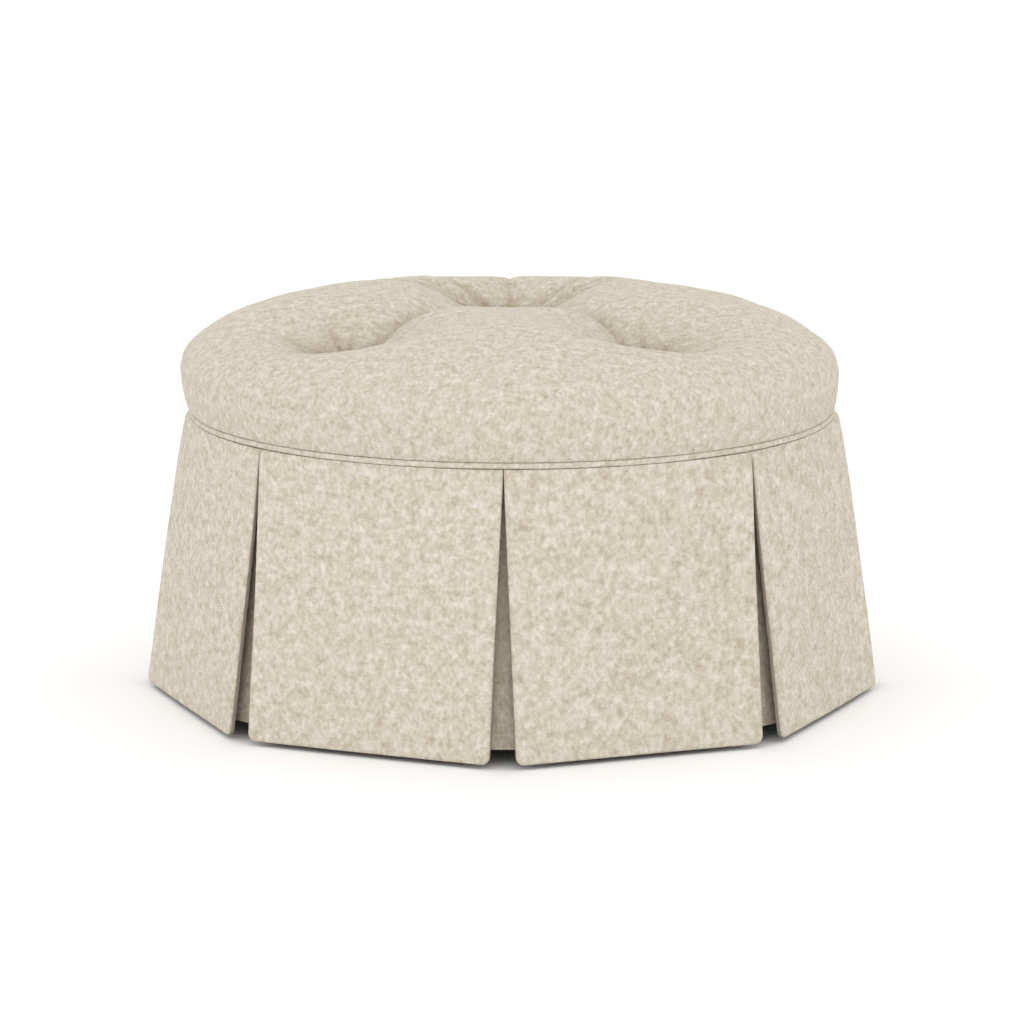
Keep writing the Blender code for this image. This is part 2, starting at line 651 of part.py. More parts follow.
def sheet_mesh(name, halves, faces, thickness, heights, corner, columns):
    # Cloth from an arc under the welt to a straight hem, as one closed slab.
    # Halves are half widths and faces are distances from the axis, each at top and hem.
    rows = sheet_rows(*heights, corner)
    bm = bmesh.new()
    sides = []
    for depth in (0, thickness):
        layer = []
        for z, draw_in in rows:
            line = []
            for column in range(columns + 1):
                across = 2 * column / columns - 1
                turn = across * (halves[0] - draw_in) / faces[0]
                hem = Vector((faces[1] - depth, across * (halves[1] - draw_in)))
                point = sheet_point(turn, faces[0] - depth, hem, z)
                line.append(bm.verts.new((point.x, point.y, z)))
            layer.append(line)
        sides.append(layer)
    face, back = sides
    last = len(rows) - 1
    for row in range(last):
        for column in range(columns):
            right_half = column >= columns / 2
            for layer in sides:
                lower, upper = layer[row], layer[row + 1]
                cell = (lower[column], lower[column + 1], upper[column + 1], upper[column])
                add_cell(bm, cell, right_half)
        for column in (0, columns):
            edge = (face[row], face[row + 1], back[row + 1], back[row])
            bm.faces.new([line[column] for line in edge])
    for row in (0, last):
        for column in range(columns):
            near, far = face[row], back[row]
            bm.faces.new((near[column], near[column + 1], far[column + 1], far[column]))
    bmesh.ops.recalc_face_normals(bm, faces=bm.faces)
    return mesh_from(bm, name)


def panel_sheet(name, inset, depth, thickness, top_z):
    # A layer of a panel: drawn in from its edges and set back from its face
    halves = (PANEL_TOP_HALF - inset, PANEL_HEM_HALF - inset)
    faces = (PANEL_FACE - depth, HEM_APOTHEM - depth)
    heights = (HEM_CLEARANCE + inset, top_z)
    corner = PANEL_CORNER - inset
    return sheet_mesh(name, halves, faces, thickness, heights, corner, PANEL_COLUMNS)


def add_skirt():
    panel_mesh = panel_sheet("skirt_panel", 0.0, 0.0, PANEL_THICKNESS, SKIRT_TOP_Z)
    pocket_mesh = panel_sheet(
        "panel_pocket", PANEL_CLOTH, PANEL_CLOTH, PANEL_THICKNESS - 2 * PANEL_CLOTH,
        SKIRT_TOP_Z + POCKET_OVERRUN,
    )
    inside = PANEL_CLOTH + TOUCH_GAP
    stiffener_mesh = panel_sheet(
        "panel_stiffener", inside, inside, STIFFENER_THICKNESS, STIFFENER_TOP_Z,
    )
    underlay_mesh = sheet_mesh(
        "pleat_underlay", (UNDERLAY_TOP_HALF, UNDERLAY_WIDTH / 2),
        (UNDERLAY_FACE, UNDERLAY_HEM_FACE), UNDERLAY_THICKNESS,
        (HEM_CLEARANCE + UNDERLAY_LIFT, SKIRT_TOP_Z), PANEL_CORNER, UNDERLAY_COLUMNS,
    )
    for number, angle in enumerate(ring_angles(PANEL_COUNT, 0.5), 1):
        panel = add_part(f"skirt_panel_{number}", panel_mesh, "linen", angle=angle)
        cut(panel, add_cutter(f"panel_pocket_{number}", pocket_mesh, angle=angle))
        add_part(f"panel_stiffener_{number}", stiffener_mesh, "buckram", angle=angle)
    for number, angle in enumerate(ring_angles(PANEL_COUNT, 0), 1):
        add_part(f"pleat_underlay_{number}", underlay_mesh, "linen", angle=angle)


clear_scene()
ottoman = new_collection("ottoman")
cutters = new_collection("cutters")
materials = {name: make_material(name) for name in MATERIALS}

base_board, deck_board = add_frame()
add_legs(base_board)
add_dust_cover()
add_tufting(add_pad(deck_board))
add_welt()
add_skirt()
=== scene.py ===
import json
import math

import bpy
import bmesh
import numpy as np
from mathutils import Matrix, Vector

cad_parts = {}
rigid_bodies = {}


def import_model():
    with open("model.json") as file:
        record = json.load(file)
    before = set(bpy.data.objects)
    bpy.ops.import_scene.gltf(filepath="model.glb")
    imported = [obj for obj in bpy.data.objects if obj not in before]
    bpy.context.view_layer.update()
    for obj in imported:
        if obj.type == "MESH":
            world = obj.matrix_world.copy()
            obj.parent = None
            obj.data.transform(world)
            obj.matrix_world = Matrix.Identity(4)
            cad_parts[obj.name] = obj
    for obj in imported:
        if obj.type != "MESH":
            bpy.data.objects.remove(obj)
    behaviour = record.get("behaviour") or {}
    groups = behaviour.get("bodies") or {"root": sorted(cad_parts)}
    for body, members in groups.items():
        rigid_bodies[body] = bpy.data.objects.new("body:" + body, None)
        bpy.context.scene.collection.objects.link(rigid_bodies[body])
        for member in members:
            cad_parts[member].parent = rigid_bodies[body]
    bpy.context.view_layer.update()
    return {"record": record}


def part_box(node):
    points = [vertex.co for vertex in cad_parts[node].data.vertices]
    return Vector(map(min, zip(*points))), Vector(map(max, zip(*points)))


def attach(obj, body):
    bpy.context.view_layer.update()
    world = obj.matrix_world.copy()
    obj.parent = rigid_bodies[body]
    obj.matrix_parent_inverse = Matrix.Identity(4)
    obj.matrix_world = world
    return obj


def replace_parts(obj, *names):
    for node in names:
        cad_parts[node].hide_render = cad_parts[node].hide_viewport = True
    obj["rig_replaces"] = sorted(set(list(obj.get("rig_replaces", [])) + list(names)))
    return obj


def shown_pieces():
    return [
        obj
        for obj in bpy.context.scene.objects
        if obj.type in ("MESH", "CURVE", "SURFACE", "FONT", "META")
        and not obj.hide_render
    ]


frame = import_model()
scene = bpy.context.scene
print("the frame is loaded")

# Camera first. Everything else is placed by the frame.
cameraLook = {
    "distance": 6.4736,  # level distance from the middle of the ottoman
    "height": 1.4808,
    "aimHeight": 0.2225,
    "orbit": 1.42,  # degrees to the right of straight in front
    "lens": 183.97,
    "sensor": 36.0,
    "farthest": 200.0,
}


def addCamera(look):
    data = bpy.data.cameras.new("camera")
    data.lens = look["lens"]
    data.sensor_width = look["sensor"]
    data.clip_end = look["farthest"]
    camera = bpy.data.objects.new("camera", data)
    scene.collection.objects.link(camera)
    turn = math.radians(look["orbit"])
    level = look["distance"]
    camera.location = (level * math.sin(turn), -level * math.cos(turn), look["height"])
    down = math.atan2(look["height"] - look["aimHeight"], level)
    camera.rotation_euler = (math.pi / 2 - down, 0, turn)
    scene.camera = camera


addCamera(cameraLook)
print("camera placed")


# Node helpers

def setInput(tree, socket, value):
    if isinstance(value, bpy.types.NodeSocket):
        tree.links.new(value, socket)
    elif isinstance(value, tuple) and len(value) == 3 and socket.type == "RGBA":
        socket.default_value = (*value, 1.0)
    else:
        socket.default_value = value


def addNode(tree, kind, inputs=None, **settings):
    node = tree.nodes.new(kind)
    for name, value in settings.items():
        setattr(node, name, value)
    for name, value in (inputs or {}).items():
        setInput(tree, node.inputs[name], value)
    return node


def calculate(tree, operation, first, second=0.0, third=0.0):
    inputs = {0: first, 1: second, 2: third}
    return addNode(tree, "ShaderNodeMath", inputs, operation=operation).outputs[0]


def fromMiddle(tree, value, scale, base):
    # How far a value from 0 to 1 is from its middle, scaled and added to base
    return calculate(tree, "MULTIPLY_ADD", calculate(tree, "SUBTRACT", value, 0.5), scale, base)


def remapped(tree, value, low, high):
    return addNode(tree, "ShaderNodeMapRange", {0: value, 1: low, 2: high}).outputs[0]


def stretched(tree, place, scale, shift=(0.0, 0.0, 0.0)):
    inputs = {0: place, 1: scale, 2: shift}
    return addNode(tree, "ShaderNodeVectorMath", inputs, operation="MULTIPLY_ADD").outputs[0]


def noise(tree, place, detail=2.0, roughness=0.5):
    inputs = {"Vector": place, "Scale": 1.0, "Detail": detail, "Roughness": roughness}
    return addNode(tree, "ShaderNodeTexNoise", inputs).outputs["Fac"]


def wave(tree, place, width):
    # Half a turn of a sine over each width
    share = calculate(tree, "DIVIDE", place, width)
    return calculate(tree, "SINE", calculate(tree, "MULTIPLY", share, math.pi))


def blended(tree, share, first, second, how="MIX"):
    node = addNode(tree, "ShaderNodeMix", data_type="RGBA", blend_type=how)
    colours = [socket for socket in node.inputs if socket.type == "RGBA"]
    setInput(tree, node.inputs[0], share)
    setInput(tree, colours[0], first)
    setInput(tree, colours[1], second)
    return [socket for socket in node.outputs if socket.type == "RGBA"][0]


def newGroup(name, build, size, defaults):
    # build makes the nodes from the group's inputs, and returns what it puts out by name
    tree = bpy.data.node_groups.new(name, "ShaderNodeTree")
    tree.interface.new_socket("Place", in_out="INPUT", socket_type="NodeSocketVector")
    for label, default in defaults.items():
        isColour = isinstance(default, tuple)
        kind = "NodeSocketColor" if isColour else "NodeSocketFloat"
        socket = tree.interface.new_socket(label, in_out="INPUT", socket_type=kind)
        socket.default_value = (*default, 1.0) if isColour else default
    results = build(tree, tree.nodes.new("NodeGroupInput").outputs, size)
    for label in results:
        kind = "NodeSocketColor" if label == "Color" else "NodeSocketFloat"
        tree.interface.new_socket(label, in_out="OUTPUT", socket_type=kind)
    out = tree.nodes.new("NodeGroupOutput").inputs
    for label, result in results.items():
        tree.links.new(result, out[label])
    return tree


# Heathered cloth: warp and weft yarns, each with its own tone, with slubs, mottling and patches
weaveSizes = {
    "warp": 0.0019,  # width of a yarn, in metres of cloth
    "weft": 0.0023,
    "yarnRun": 0.011,  # how far a tone runs along a yarn
    "yarnJump": 7.31,  # keeps neighbouring yarns apart in the noise
    "yarnDetail": 1.5,
    "stray": 0.0016,  # how far the yarns wander
    "strayRate": (120.0, 120.0, 1.0),
    "yarnRound": 0.6,
    "yarnRise": 0.8,
    "lumpRise": 1.6,
    # Each layer's width, height, step between pieces, place in the noise, detail and roughness
    "Mottle": (0.0054, 0.0062, 3.0, (4.0, 9.0, 1.0), 2.5, 0.6),
    "Ribs": (0.0046, 0.050, 5.0, (2.0, 6.0, 8.0), 1.0, 0.5),
    "Patches": (0.0135, 0.0135, 2.0, (1.0, 3.0, 5.0), 2.0, 0.5),
}


def weaveCloth(tree, given, size):
    place = given["Place"]
    stray = noise(tree, stretched(tree, place, size["strayRate"]), 1.0)
    stray = calculate(tree, "MULTIPLY_ADD", stray, size["stray"], -size["stray"] / 2)
    place = addNode(tree, "ShaderNodeVectorMath", {0: place, 1: stray}, operation="ADD").outputs[0]
    parts = addNode(tree, "ShaderNodeSeparateXYZ", {0: place}).outputs

    # Tone along each yarn
    tones, waves = [], []
    for across, along, width in (("X", "Y", size["warp"]), ("Y", "X", size["weft"])):
        cell = calculate(tree, "FLOOR", calculate(tree, "DIVIDE", parts[across], width))
        onYarn = addNode(tree, "ShaderNodeCombineXYZ", {
            across: calculate(tree, "MULTIPLY", cell, size["yarnJump"]),
            along: calculate(tree, "DIVIDE", parts[along], size["yarnRun"]),
            "Z": parts["Z"],
        }).outputs[0]
        tones.append(noise(tree, onYarn, size["yarnDetail"]))
        waves.append(wave(tree, parts[across], width))

    # Plain weave: the warp lies on top where both cell numbers are even or both are odd
    weave = calculate(tree, "MULTIPLY", *waves)
    warpOver = calculate(tree, "GREATER_THAN", weave, 0.0)
    yarnTone = addNode(
        tree, "ShaderNodeMix", {0: warpOver, 2: tones[1], 3: tones[0]}, data_type="FLOAT",
    ).outputs[0]

    layers = {"Yarns": yarnTone}
    for label in ("Mottle", "Ribs", "Patches"):
        wide, tall, step, shift, detail, roughness = size[label]
        spread = stretched(tree, place, (1 / wide, 1 / tall, step), shift)
        layers[label] = noise(tree, spread, detail, roughness)
    tone = 0.5
    for label, layer in layers.items():
        tone = fromMiddle(tree, layer, given[label], tone)
    tone = fromMiddle(tree, tone, given["Contrast"], 0.5)
    colour = blended(tree, remapped(tree, tone, 0.0, 0.5), given["Dark"], given["Middle"])
    colour = blended(tree, remapped(tree, tone, 0.5, 1.0), colour, given["Light"])
    # Painted shade: a brownish tint is multiplied in where creases, wells and pleat recesses would
    # lie in shade
    colour = blended(tree, given["Painted Shade"], colour, given["Shade Tint"], "MULTIPLY")

    height = calculate(tree, "POWER", calculate(tree, "ABSOLUTE", weave), size["yarnRound"])
    height = fromMiddle(tree, yarnTone, size["yarnRise"], height)
    height = fromMiddle(tree, layers["Mottle"], size["lumpRise"], height)
    return {"Color": colour, "Height": height}


threadSizes = {
    "upright": 0.5,  # share of the threads along Z
    "cloudRate": (60.0, 60.0, 60.0),
    "cloudDetail": (4.0, 0.6),
    "weaveShare": 0.18,
    "range": (0.2, 0.8),
}


def layThreads(tree, given, size):
    # Fine even threads, for the hidden cloths and the twine
    parts = addNode(tree, "ShaderNodeSeparateXYZ", {0: given["Place"]}).outputs
    waves = [wave(tree, parts[axis], given["Thread"]) for axis in "XYZ"]
    weave = calculate(tree, "MULTIPLY", waves[0], waves[1])
    weave = calculate(tree, "ADD", weave, calculate(tree, "MULTIPLY", waves[2], size["upright"]))
    cloudy = noise(tree, stretched(tree, given["Place"], size["cloudRate"]), *size["cloudDetail"])
    share = calculate(tree, "MULTIPLY_ADD", weave, size["weaveShare"], cloudy)
    share = remapped(tree, share, *size["range"])
    return {"Color": blended(tree, share, given["Shade"], given["Base"]), "Height": weave}


woodSizes = {
    "bendRate": (6.0, 6.0, 1.5),
    "bend": 0.08,  # metres that the rings bend by
    "fibreRate": (700.0, 700.0, 22.0),
    "ply": 2094.0,  # one light and one dark ply every 3 mm
    "shares": (0.16, 0.9, 0.2),  # rings, fibres and plies
    "range": (0.1, 0.85),
    "roughness": (0.38, 0.3),  # least, and what the fibres add
}


def growWood(tree, given, size):
    place = given["Place"]
    forRings, forFibres, forPlies = size["shares"]
    bend = noise(tree, stretched(tree, place, size["bendRate"]), 3.0)
    parts = addNode(tree, "ShaderNodeSeparateXYZ", {0: place}).outputs
    across = calculate(tree, "ADD", parts["X"], calculate(tree, "MULTIPLY", bend, size["bend"]))
    rings = calculate(tree, "SINE", calculate(tree, "MULTIPLY", across, given["Rings"]))
    fibres = noise(tree, stretched(tree, place, size["fibreRate"]), 3.0, 0.65)
    plies = calculate(tree, "SINE", calculate(tree, "MULTIPLY", parts["Z"], size["ply"]))
    plies = calculate(tree, "MULTIPLY", plies, given["Plies"])
    share = calculate(tree, "MULTIPLY", fibres, forFibres)
    share = calculate(tree, "MULTIPLY_ADD", rings, forRings, share)
    share = calculate(tree, "ADD", share, calculate(tree, "MULTIPLY", plies, forPlies))
    share = remapped(tree, share, *size["range"])
    least, added = size["roughness"]
    return {
        "Color": blended(tree, share, given["Dark"], given["Pale"]),
        "Roughness": calculate(tree, "MULTIPLY_ADD", fibres, added, least),
        "Height": fibres,
    }


scuffSizes = {
    "grainDetail": (5.0, 0.7),
    "shares": (0.8, 0.4),  # grain and cells
    "range": (0.35, 0.85),
    "roughness": 0.2,  # what wear adds
}


def scatterScuffs(tree, given, size):
    # Fine speckle and scuffs, for metal, nylon, card, foam and wadding
    forGrain, forCells = size["shares"]
    small = addNode(tree, "ShaderNodeVectorMath", {
        0: given["Place"], "Scale": calculate(tree, "DIVIDE", 1.0, given["Size"]),
    }, operation="SCALE").outputs[0]
    grain = noise(tree, small, *size["grainDetail"])
    cells = addNode(tree, "ShaderNodeTexVoronoi", {"Vector": small, "Scale": 1.0})
    share = calculate(tree, "MULTIPLY", grain, forGrain)
    share = calculate(tree, "MULTIPLY_ADD", cells.outputs["Distance"], forCells, share)
    share = remapped(tree, share, *size["range"])
    return {
        "Color": blended(tree, share, given["Base"], given["Worn"]),
        "Roughness": calculate(tree, "MULTIPLY_ADD", share, size["roughness"], given["Rough"]),
        "Height": grain,
    }


heathered = newGroup("heathered weave", weaveCloth, weaveSizes, {
    "Dark": (0.45, 0.40, 0.31), "Middle": (0.60, 0.55, 0.45), "Light": (0.76, 0.71, 0.62),
    "Yarns": 0.5, "Mottle": 0.5, "Ribs": 0.2, "Patches": 0.2, "Contrast": 1.0,
    "Painted Shade": 0.0, "Shade Tint": (0.45, 0.38, 0.27),
})
plainThreads = newGroup("plain threads", layThreads, threadSizes, {
    "Thread": 0.0012, "Base": (0.8, 0.77, 0.68), "Shade": (0.6, 0.56, 0.46),
})
woodGrain = newGroup("wood grain", growWood, woodSizes, {
    "Pale": (0.66, 0.49, 0.30), "Dark": (0.45, 0.30, 0.16), "Rings": 90.0, "Plies": 0.0,
})
scuffs = newGroup("speckle and scuffs", scatterScuffs, scuffSizes, {
    "Size": 0.002, "Base": (0.5, 0.5, 0.5), "Worn": (0.3, 0.3, 0.3), "Rough": 0.5,
})
print("shader groups built")


# Materials

def newMaterial(name, group, values, bumpDepth, fixed, onCloth=False):
    # fixed holds the values that are the same all over, set on the shader itself.
    # A cloth takes its place on the bolt from its points, and its painted shade in creases, wells
    # and pleats from the crease attribute.
    material = bpy.data.materials.new(name)
    material.use_nodes = True
    tree = material.node_tree
    shader = tree.nodes["Principled BSDF"]
    if onCloth:
        place = addNode(tree, "ShaderNodeAttribute", attribute_name="clothAt").outputs["Vector"]
        crease = addNode(tree, "ShaderNodeAttribute", attribute_name="crease").outputs["Fac"]
        values = {**values, "Painted Shade": crease}
    else:
        place = addNode(tree, "ShaderNodeTexCoord").outputs["Object"]
    node = addNode(tree, "ShaderNodeGroup", node_tree=group)
    for label, value in {"Place": place, **values}.items():
        setInput(tree, node.inputs[label], value)
    tree.links.new(node.outputs["Color"], shader.inputs["Base Color"])
    if "Roughness" in node.outputs:
        tree.links.new(node.outputs["Roughness"], shader.inputs["Roughness"])
    bump = addNode(tree, "ShaderNodeBump", {"Strength": 1.0, "Distance": bumpDepth})
    tree.links.new(node.outputs["Height"], bump.inputs["Height"])
    tree.links.new(bump.outputs["Normal"], shader.inputs["Normal"])
    for label, value in fixed.items():
        setInput(tree, shader.inputs[label], value)
    return material


linenLook = {
    "Dark": (0.480, 0.417, 0.303),
    "Middle": (0.645, 0.585, 0.480),
    "Light": (0.800, 0.758, 0.686),
    "Yarns": 0.30,
    "Mottle": 1.55,
    "Ribs": 0.14,
    "Patches": 1.10,
    "Contrast": 1.0,
}
clothShader = {
    "Roughness": 0.95,
    "Specular IOR Level": 0.18,
    "Sheen Weight": 0.12,
    "Sheen Roughness": 0.45,
    "Sheen Tint": (0.95, 0.90, 0.80),
}
softShader = {"Specular IOR Level": 0.1}
dryCloth = {"Roughness": 0.95, "Specular IOR Level": 0.15}
dryWood = {"Specular IOR Level": 0.35}
satin = {"Specular IOR Level": 0.5}
metal = {"Metallic": 1.0, "Specular IOR Level": 0.5}

# Each slot's material: name, group, the group's values, depth of bump, and the shader's values
slotLooks = {
    "linen": ("oatmeal linen", heathered, linenLook, 0.0005, clothShader, True),
    "batting": ("white wadding", scuffs, {
        "Size": 0.004, "Base": (0.90, 0.90, 0.88), "Worn": (0.78, 0.78, 0.75), "Rough": 0.8,
    }, 0.0015, softShader),
    "foam": ("cushion foam", scuffs, {
        "Size": 0.0012, "Base": (0.86, 0.80, 0.62), "Worn": (0.68, 0.60, 0.42), "Rough": 0.8,
    }, 0.0004, softShader),
    "plywood": ("birch plywood", woodGrain, {
        "Pale": (0.70, 0.53, 0.34), "Dark": (0.52, 0.36, 0.20), "Rings": 60.0, "Plies": 1.0,
    }, 0.0002, dryWood),
    "hardwood": ("oiled hardwood", woodGrain, {
        "Pale": (0.46, 0.30, 0.17), "Dark": (0.28, 0.17, 0.09), "Rings": 240.0,
    }, 0.0001, satin),
    "steel": ("zinc plated steel", scuffs, {
        "Size": 0.0015, "Base": (0.62, 0.63, 0.64), "Worn": (0.46, 0.47, 0.48), "Rough": 0.28,
    }, 0.00005, metal),
    "nylon": ("black nylon", scuffs, {
        "Size": 0.0010, "Base": (0.035, 0.035, 0.036), "Worn": (0.08, 0.08, 0.08), "Rough": 0.42,
    }, 0.00005, satin),
    "card": ("pressed card", scuffs, {
        "Size": 0.0014, "Base": (0.56, 0.47, 0.35), "Worn": (0.44, 0.35, 0.24), "Rough": 0.75,
    }, 0.0001, dryWood),
    "buckram": ("sized buckram", plainThreads, {
        "Thread": 0.0011, "Base": (0.82, 0.79, 0.70), "Shade": (0.64, 0.60, 0.50),
    }, 0.0002, dryCloth),
    "twine": ("waxed twine", plainThreads, {
        "Thread": 0.0007, "Base": (0.78, 0.73, 0.61), "Shade": (0.52, 0.46, 0.34),
    }, 0.0002, {"Roughness": 0.6}),
    "cambric": ("black cambric", plainThreads, {
        "Thread": 0.0010, "Base": (0.035, 0.035, 0.036), "Shade": (0.016, 0.016, 0.017),
    }, 0.0002, dryCloth),
}
materials = {slot: newMaterial(*look) for slot, look in slotLooks.items()}
print("materials made")


# Mesh helpers

def newPiece(name, points, faces, slot, clothAt=None, crease=None):
    mesh = bpy.data.meshes.new(name)
    mesh.from_pydata(np.asarray(points).tolist(), [], faces)
    mesh.update()
    mesh.shade_smooth()
    if clothAt is not None:
        layer = mesh.attributes.new("clothAt", "FLOAT_VECTOR", "POINT")
        layer.data.foreach_set("vector", np.asarray(clothAt, dtype=np.float32).ravel())
        # The crease attribute is painted shade, from 0 to 1, that the cloth material multiplies in
        layer = mesh.attributes.new("crease", "FLOAT", "POINT")
        layer.data.foreach_set("value", np.asarray(crease, dtype=np.float32).ravel())
    mesh.materials.append(materials[slot])
    piece = bpy.data.objects.new(name, mesh)
    scene.collection.objects.link(piece)
    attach(piece, "root")
    return piece


def quadsBetween(rows, wrap):
    # rows holds point numbers. Quads run down, then to the right, so their normals face out.
    following = np.roll(rows, -1, axis=1) if wrap else rows[:, 1:]
    rows = rows if wrap else rows[:, :-1]
    corners = (rows[:-1], rows[1:], following[1:], following[:-1])
    return np.stack([c.ravel() for c in corners], axis=1)


def roundTurns(count):
    return np.linspace(0, 2 * math.pi, count, endpoint=False)


def ringAt(turns, radius, height):
    # A ring, or one for each row where radius or height has rows
    parts = np.broadcast_arrays(radius * np.cos(turns), radius * np.sin(turns), height)
    return np.stack(parts, axis=-1)


def turnedBy(x, y, angle):
    cosine, sine = np.cos(angle), np.sin(angle)
    return x * cosine - y * sine, x * sine + y * cosine


def roundMesh(name, rows, slot, clothAt=None, crease=None, poles=(False, False), closed=False):
    # rows is an array of rings from the inside of the crown outwards and down.
    # A pole closes the first or the last ring with a fan of triangles.
    levels, steps = rows.shape[:2]
    clothAt = np.zeros(rows.shape) if clothAt is None else clothAt
    # crease is the painted shade of each point
    crease = np.zeros((levels, steps)) if crease is None else crease
    points = np.dstack([rows, clothAt, crease]).reshape(levels * steps, -1)
    numbers = np.arange(levels * steps).reshape(levels, steps)
    if closed:
        numbers = np.vstack([numbers, numbers[:1]])
    faces = quadsBetween(numbers, True).tolist()
    for wanted, ring, first in ((poles[0], numbers[0], True), (poles[1], numbers[-1], False)):
        if wanted:
            middle = len(points)
            points = np.vstack([points, points[ring].mean(axis=0)])
            for here, there in zip(ring.tolist(), np.roll(ring, -1).tolist()):
                faces.append((middle, here, there) if first else (middle, there, here))
    return newPiece(name, points[:, :3], faces, slot, points[:, 3:6], points[:, 6])


def thicken(piece, thickness):
    shell = piece.modifiers.new("cloth", "SOLIDIFY")
    shell.thickness = thickness
    shell.offset = -1


def smoothStep(value, low, high):
    share = np.clip((value - low) / (high - low), 0, 1)
    return share * share * (3 - 2 * share)


def softNoise(points, seed, length, waves=14):
    # Smooth seeded ripples, about -1 to 1, with the given wave length
    random = np.random.default_rng(seed)
    total = np.zeros(len(points))
    for _ in range(waves):
        turn = random.uniform(0, 2 * math.pi)
        rate = 2 * math.pi / (length * random.uniform(0.7, 1.6))
        direction = np.array([math.cos(turn), math.sin(turn)]) * rate
        total += np.sin(points[:, :2] @ direction + random.uniform(0, 2 * math.pi))
    return total / math.sqrt(waves) / 1.4


# The crowned pad. Its left side is a little fuller than its right.

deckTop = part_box("deck_board")[1][2]
pad = {
    "girth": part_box("cushion_cover")[1][0] + 0.0020,
    "girthHeight": deckTop + 0.0462,
    "crownHeight": deckTop + 0.1339,
    "shoulder": 0.2225,
    "squareness": 1.913,
    "undersideSquareness": 1.6,
    "leanGirth": 0.0030,  # right side against left side
    "leanHeight": 0.0050,
    "leanShoulder": -0.0040,
    "foot": 0.3921,
    "restOut": 0.4030,  # the pad lies flat on the welt as far out as this
    "seatHeight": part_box("welt")[1][2] + 0.0004,
    "lowEdge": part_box("cushion_cover")[0][2],
    "cloth": 0.0015,
    "buttonFlat": 0.0120,
    "underButton": 0.0004,
    "floorUnder": 0.0016,  # the cover sinks no lower than this under the lowest button
    "floorSoft": 0.0012,
    "bowlShare": 0.83,
    "bowlSpread": (0.0930, 0.0834, 0.0980),  # right, back and left well
    "bowlSharpness": 2.6,
    "pitSpread": 0.0182,
    "hollow": 0.0178,  # between the wells
    "hollowPlace": (0.0, 0.050),
    "hollowReach": (0.140, 0.090),
    "fade": 9,  # power that keeps the girth round
    "lumps": 0.0011,
    "lumpLength": 0.090,
    "lumpSeed": 5,
    "foldRound": 0.0012,  # radius at the bottom of a fold
    "foldHollow": 2.3,
    "wellSpread": 0.034,  # how far the shade reaches out of a well
    "wellSharpness": 1.3,
    "wellShade": 0.8,
    "foldShade": 0.34,
    "troughShade": 3,  # painted shade for each metre that a fold sinks
    "puckerShade": 70,  # and that a pucker sinks
    "creaseShade": 0.95,
}
pucker = {
    "count": 16,
    "seed": 11,
    "stray": 0.34,  # share of the angle between two
    "depth": (0.0036, 0.0086),
    "reach": (0.060, 0.125),
    "bend": 3.0,  # radians that one turns in a metre, at most
    "width": 0.0016,
    "widening": 0.052,
    "sharpness": 1.4,
    "fan": 1.2,  # radians to each side within which one has an effect
    "start": (0.007, 0.020),
    "fadeFrom": 0.25,
    "inWells": 0.7,
    "addedOutside": 0.3,
}
padMesh = {
    "around": 540,
    "crownRows": 128,
    "underRows": 19,
    "restRows": 3,
    "stemRows": 7,
    "firstRing": 0.006,  # share of the girth
    "edge": 0.1,  # share of the girth in which the rings close up
    "samples": (600, 400),  # inside that edge and in it
    "steepest": 40,
    "finer": 1.3,  # more rings and columns near the wells
    "finerTurn": 0.32,
    "finerAt": 0.19,
    "finerWidth": 0.065,
}


def buttonSeats():
    found = []
    for number in (1, 2, 3):
        low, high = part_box(f"tuft_button_{number}")
        found.append(((low[0] + high[0]) / 2, (low[1] + high[1]) / 2, low[2]))
    return np.array(found)


seats = buttonSeats()
wells = seats[:, :2]
rightWell, backWell, leftWell = (tuple(place) for place in wells)

# Each fold: its path, depth, reach to each side, share of the depth in the narrow crease,
# width of that crease, and how much of each end fades out
folds = [
    ([leftWell, (-0.155, -0.052), (-0.111, 0.029), (-0.062, 0.106), backWell],
     0.0260, 0.068, 0.20, 0.0060, (0.0, 0.0)),
    ([rightWell, (0.129, -0.049), (0.089, 0.030), (0.043, 0.107), backWell],
     0.0212, 0.068, 0.22, 0.0060, (0.0, 0.0)),
    ([backWell, (-0.010, 0.260), (-0.012, 0.330), (-0.014, 0.400)],
     0.0052, 0.036, 0.45, 0.0040, (0.0, 0.0)),
    ([backWell, (-0.100, 0.204), (-0.200, 0.210), (-0.304, 0.200), (-0.370, 0.185)],
     0.0060, 0.070, 0.15, 0.0080, (0.0, 0.35)),
    ([backWell, (0.085, 0.206), (0.190, 0.222), (0.294, 0.224), (0.360, 0.210)],
     0.0060, 0.070, 0.15, 0.0080, (0.0, 0.25)),
    ([leftWell, (-0.232, -0.120), (-0.268, -0.104), (-0.320, -0.090)],
     0.0070, 0.045, 0.35, 0.0045, (0.0, 0.6)),
    ([rightWell, (0.205, -0.140), (0.258, -0.146), (0.300, -0.148)],
     0.0060, 0.045, 0.25, 0.0050, (0.0, 0.6)),
    ([backWell, (0.040, 0.228), (0.090, 0.276), (0.135, 0.320)],
     0.0075, 0.020, 0.60, 0.0036, (0.1, 0.5)),
    ([backWell, (0.055, 0.212), (0.120, 0.248), (0.190, 0.288)],
     0.0066, 0.020, 0.60, 0.0036, (0.1, 0.5)),
    ([backWell, (0.060, 0.196), (0.130, 0.216), (0.200, 0.238)],
     0.0055, 0.018, 0.60, 0.0034, (0.1, 0.5)),
    ([backWell, (-0.045, 0.228), (-0.095, 0.270), (-0.140, 0.308)],
     0.0066, 0.020, 0.60, 0.0036, (0.1, 0.5)),
    ([backWell, (-0.060, 0.212), (-0.130, 0.244), (-0.200, 0.276)],
     0.0066, 0.020, 0.60, 0.0036, (0.1, 0.5)),
    ([backWell, (-0.065, 0.196), (-0.140, 0.214), (-0.220, 0.232)],
     0.0055, 0.018, 0.60, 0.0034, (0.1, 0.5)),
]


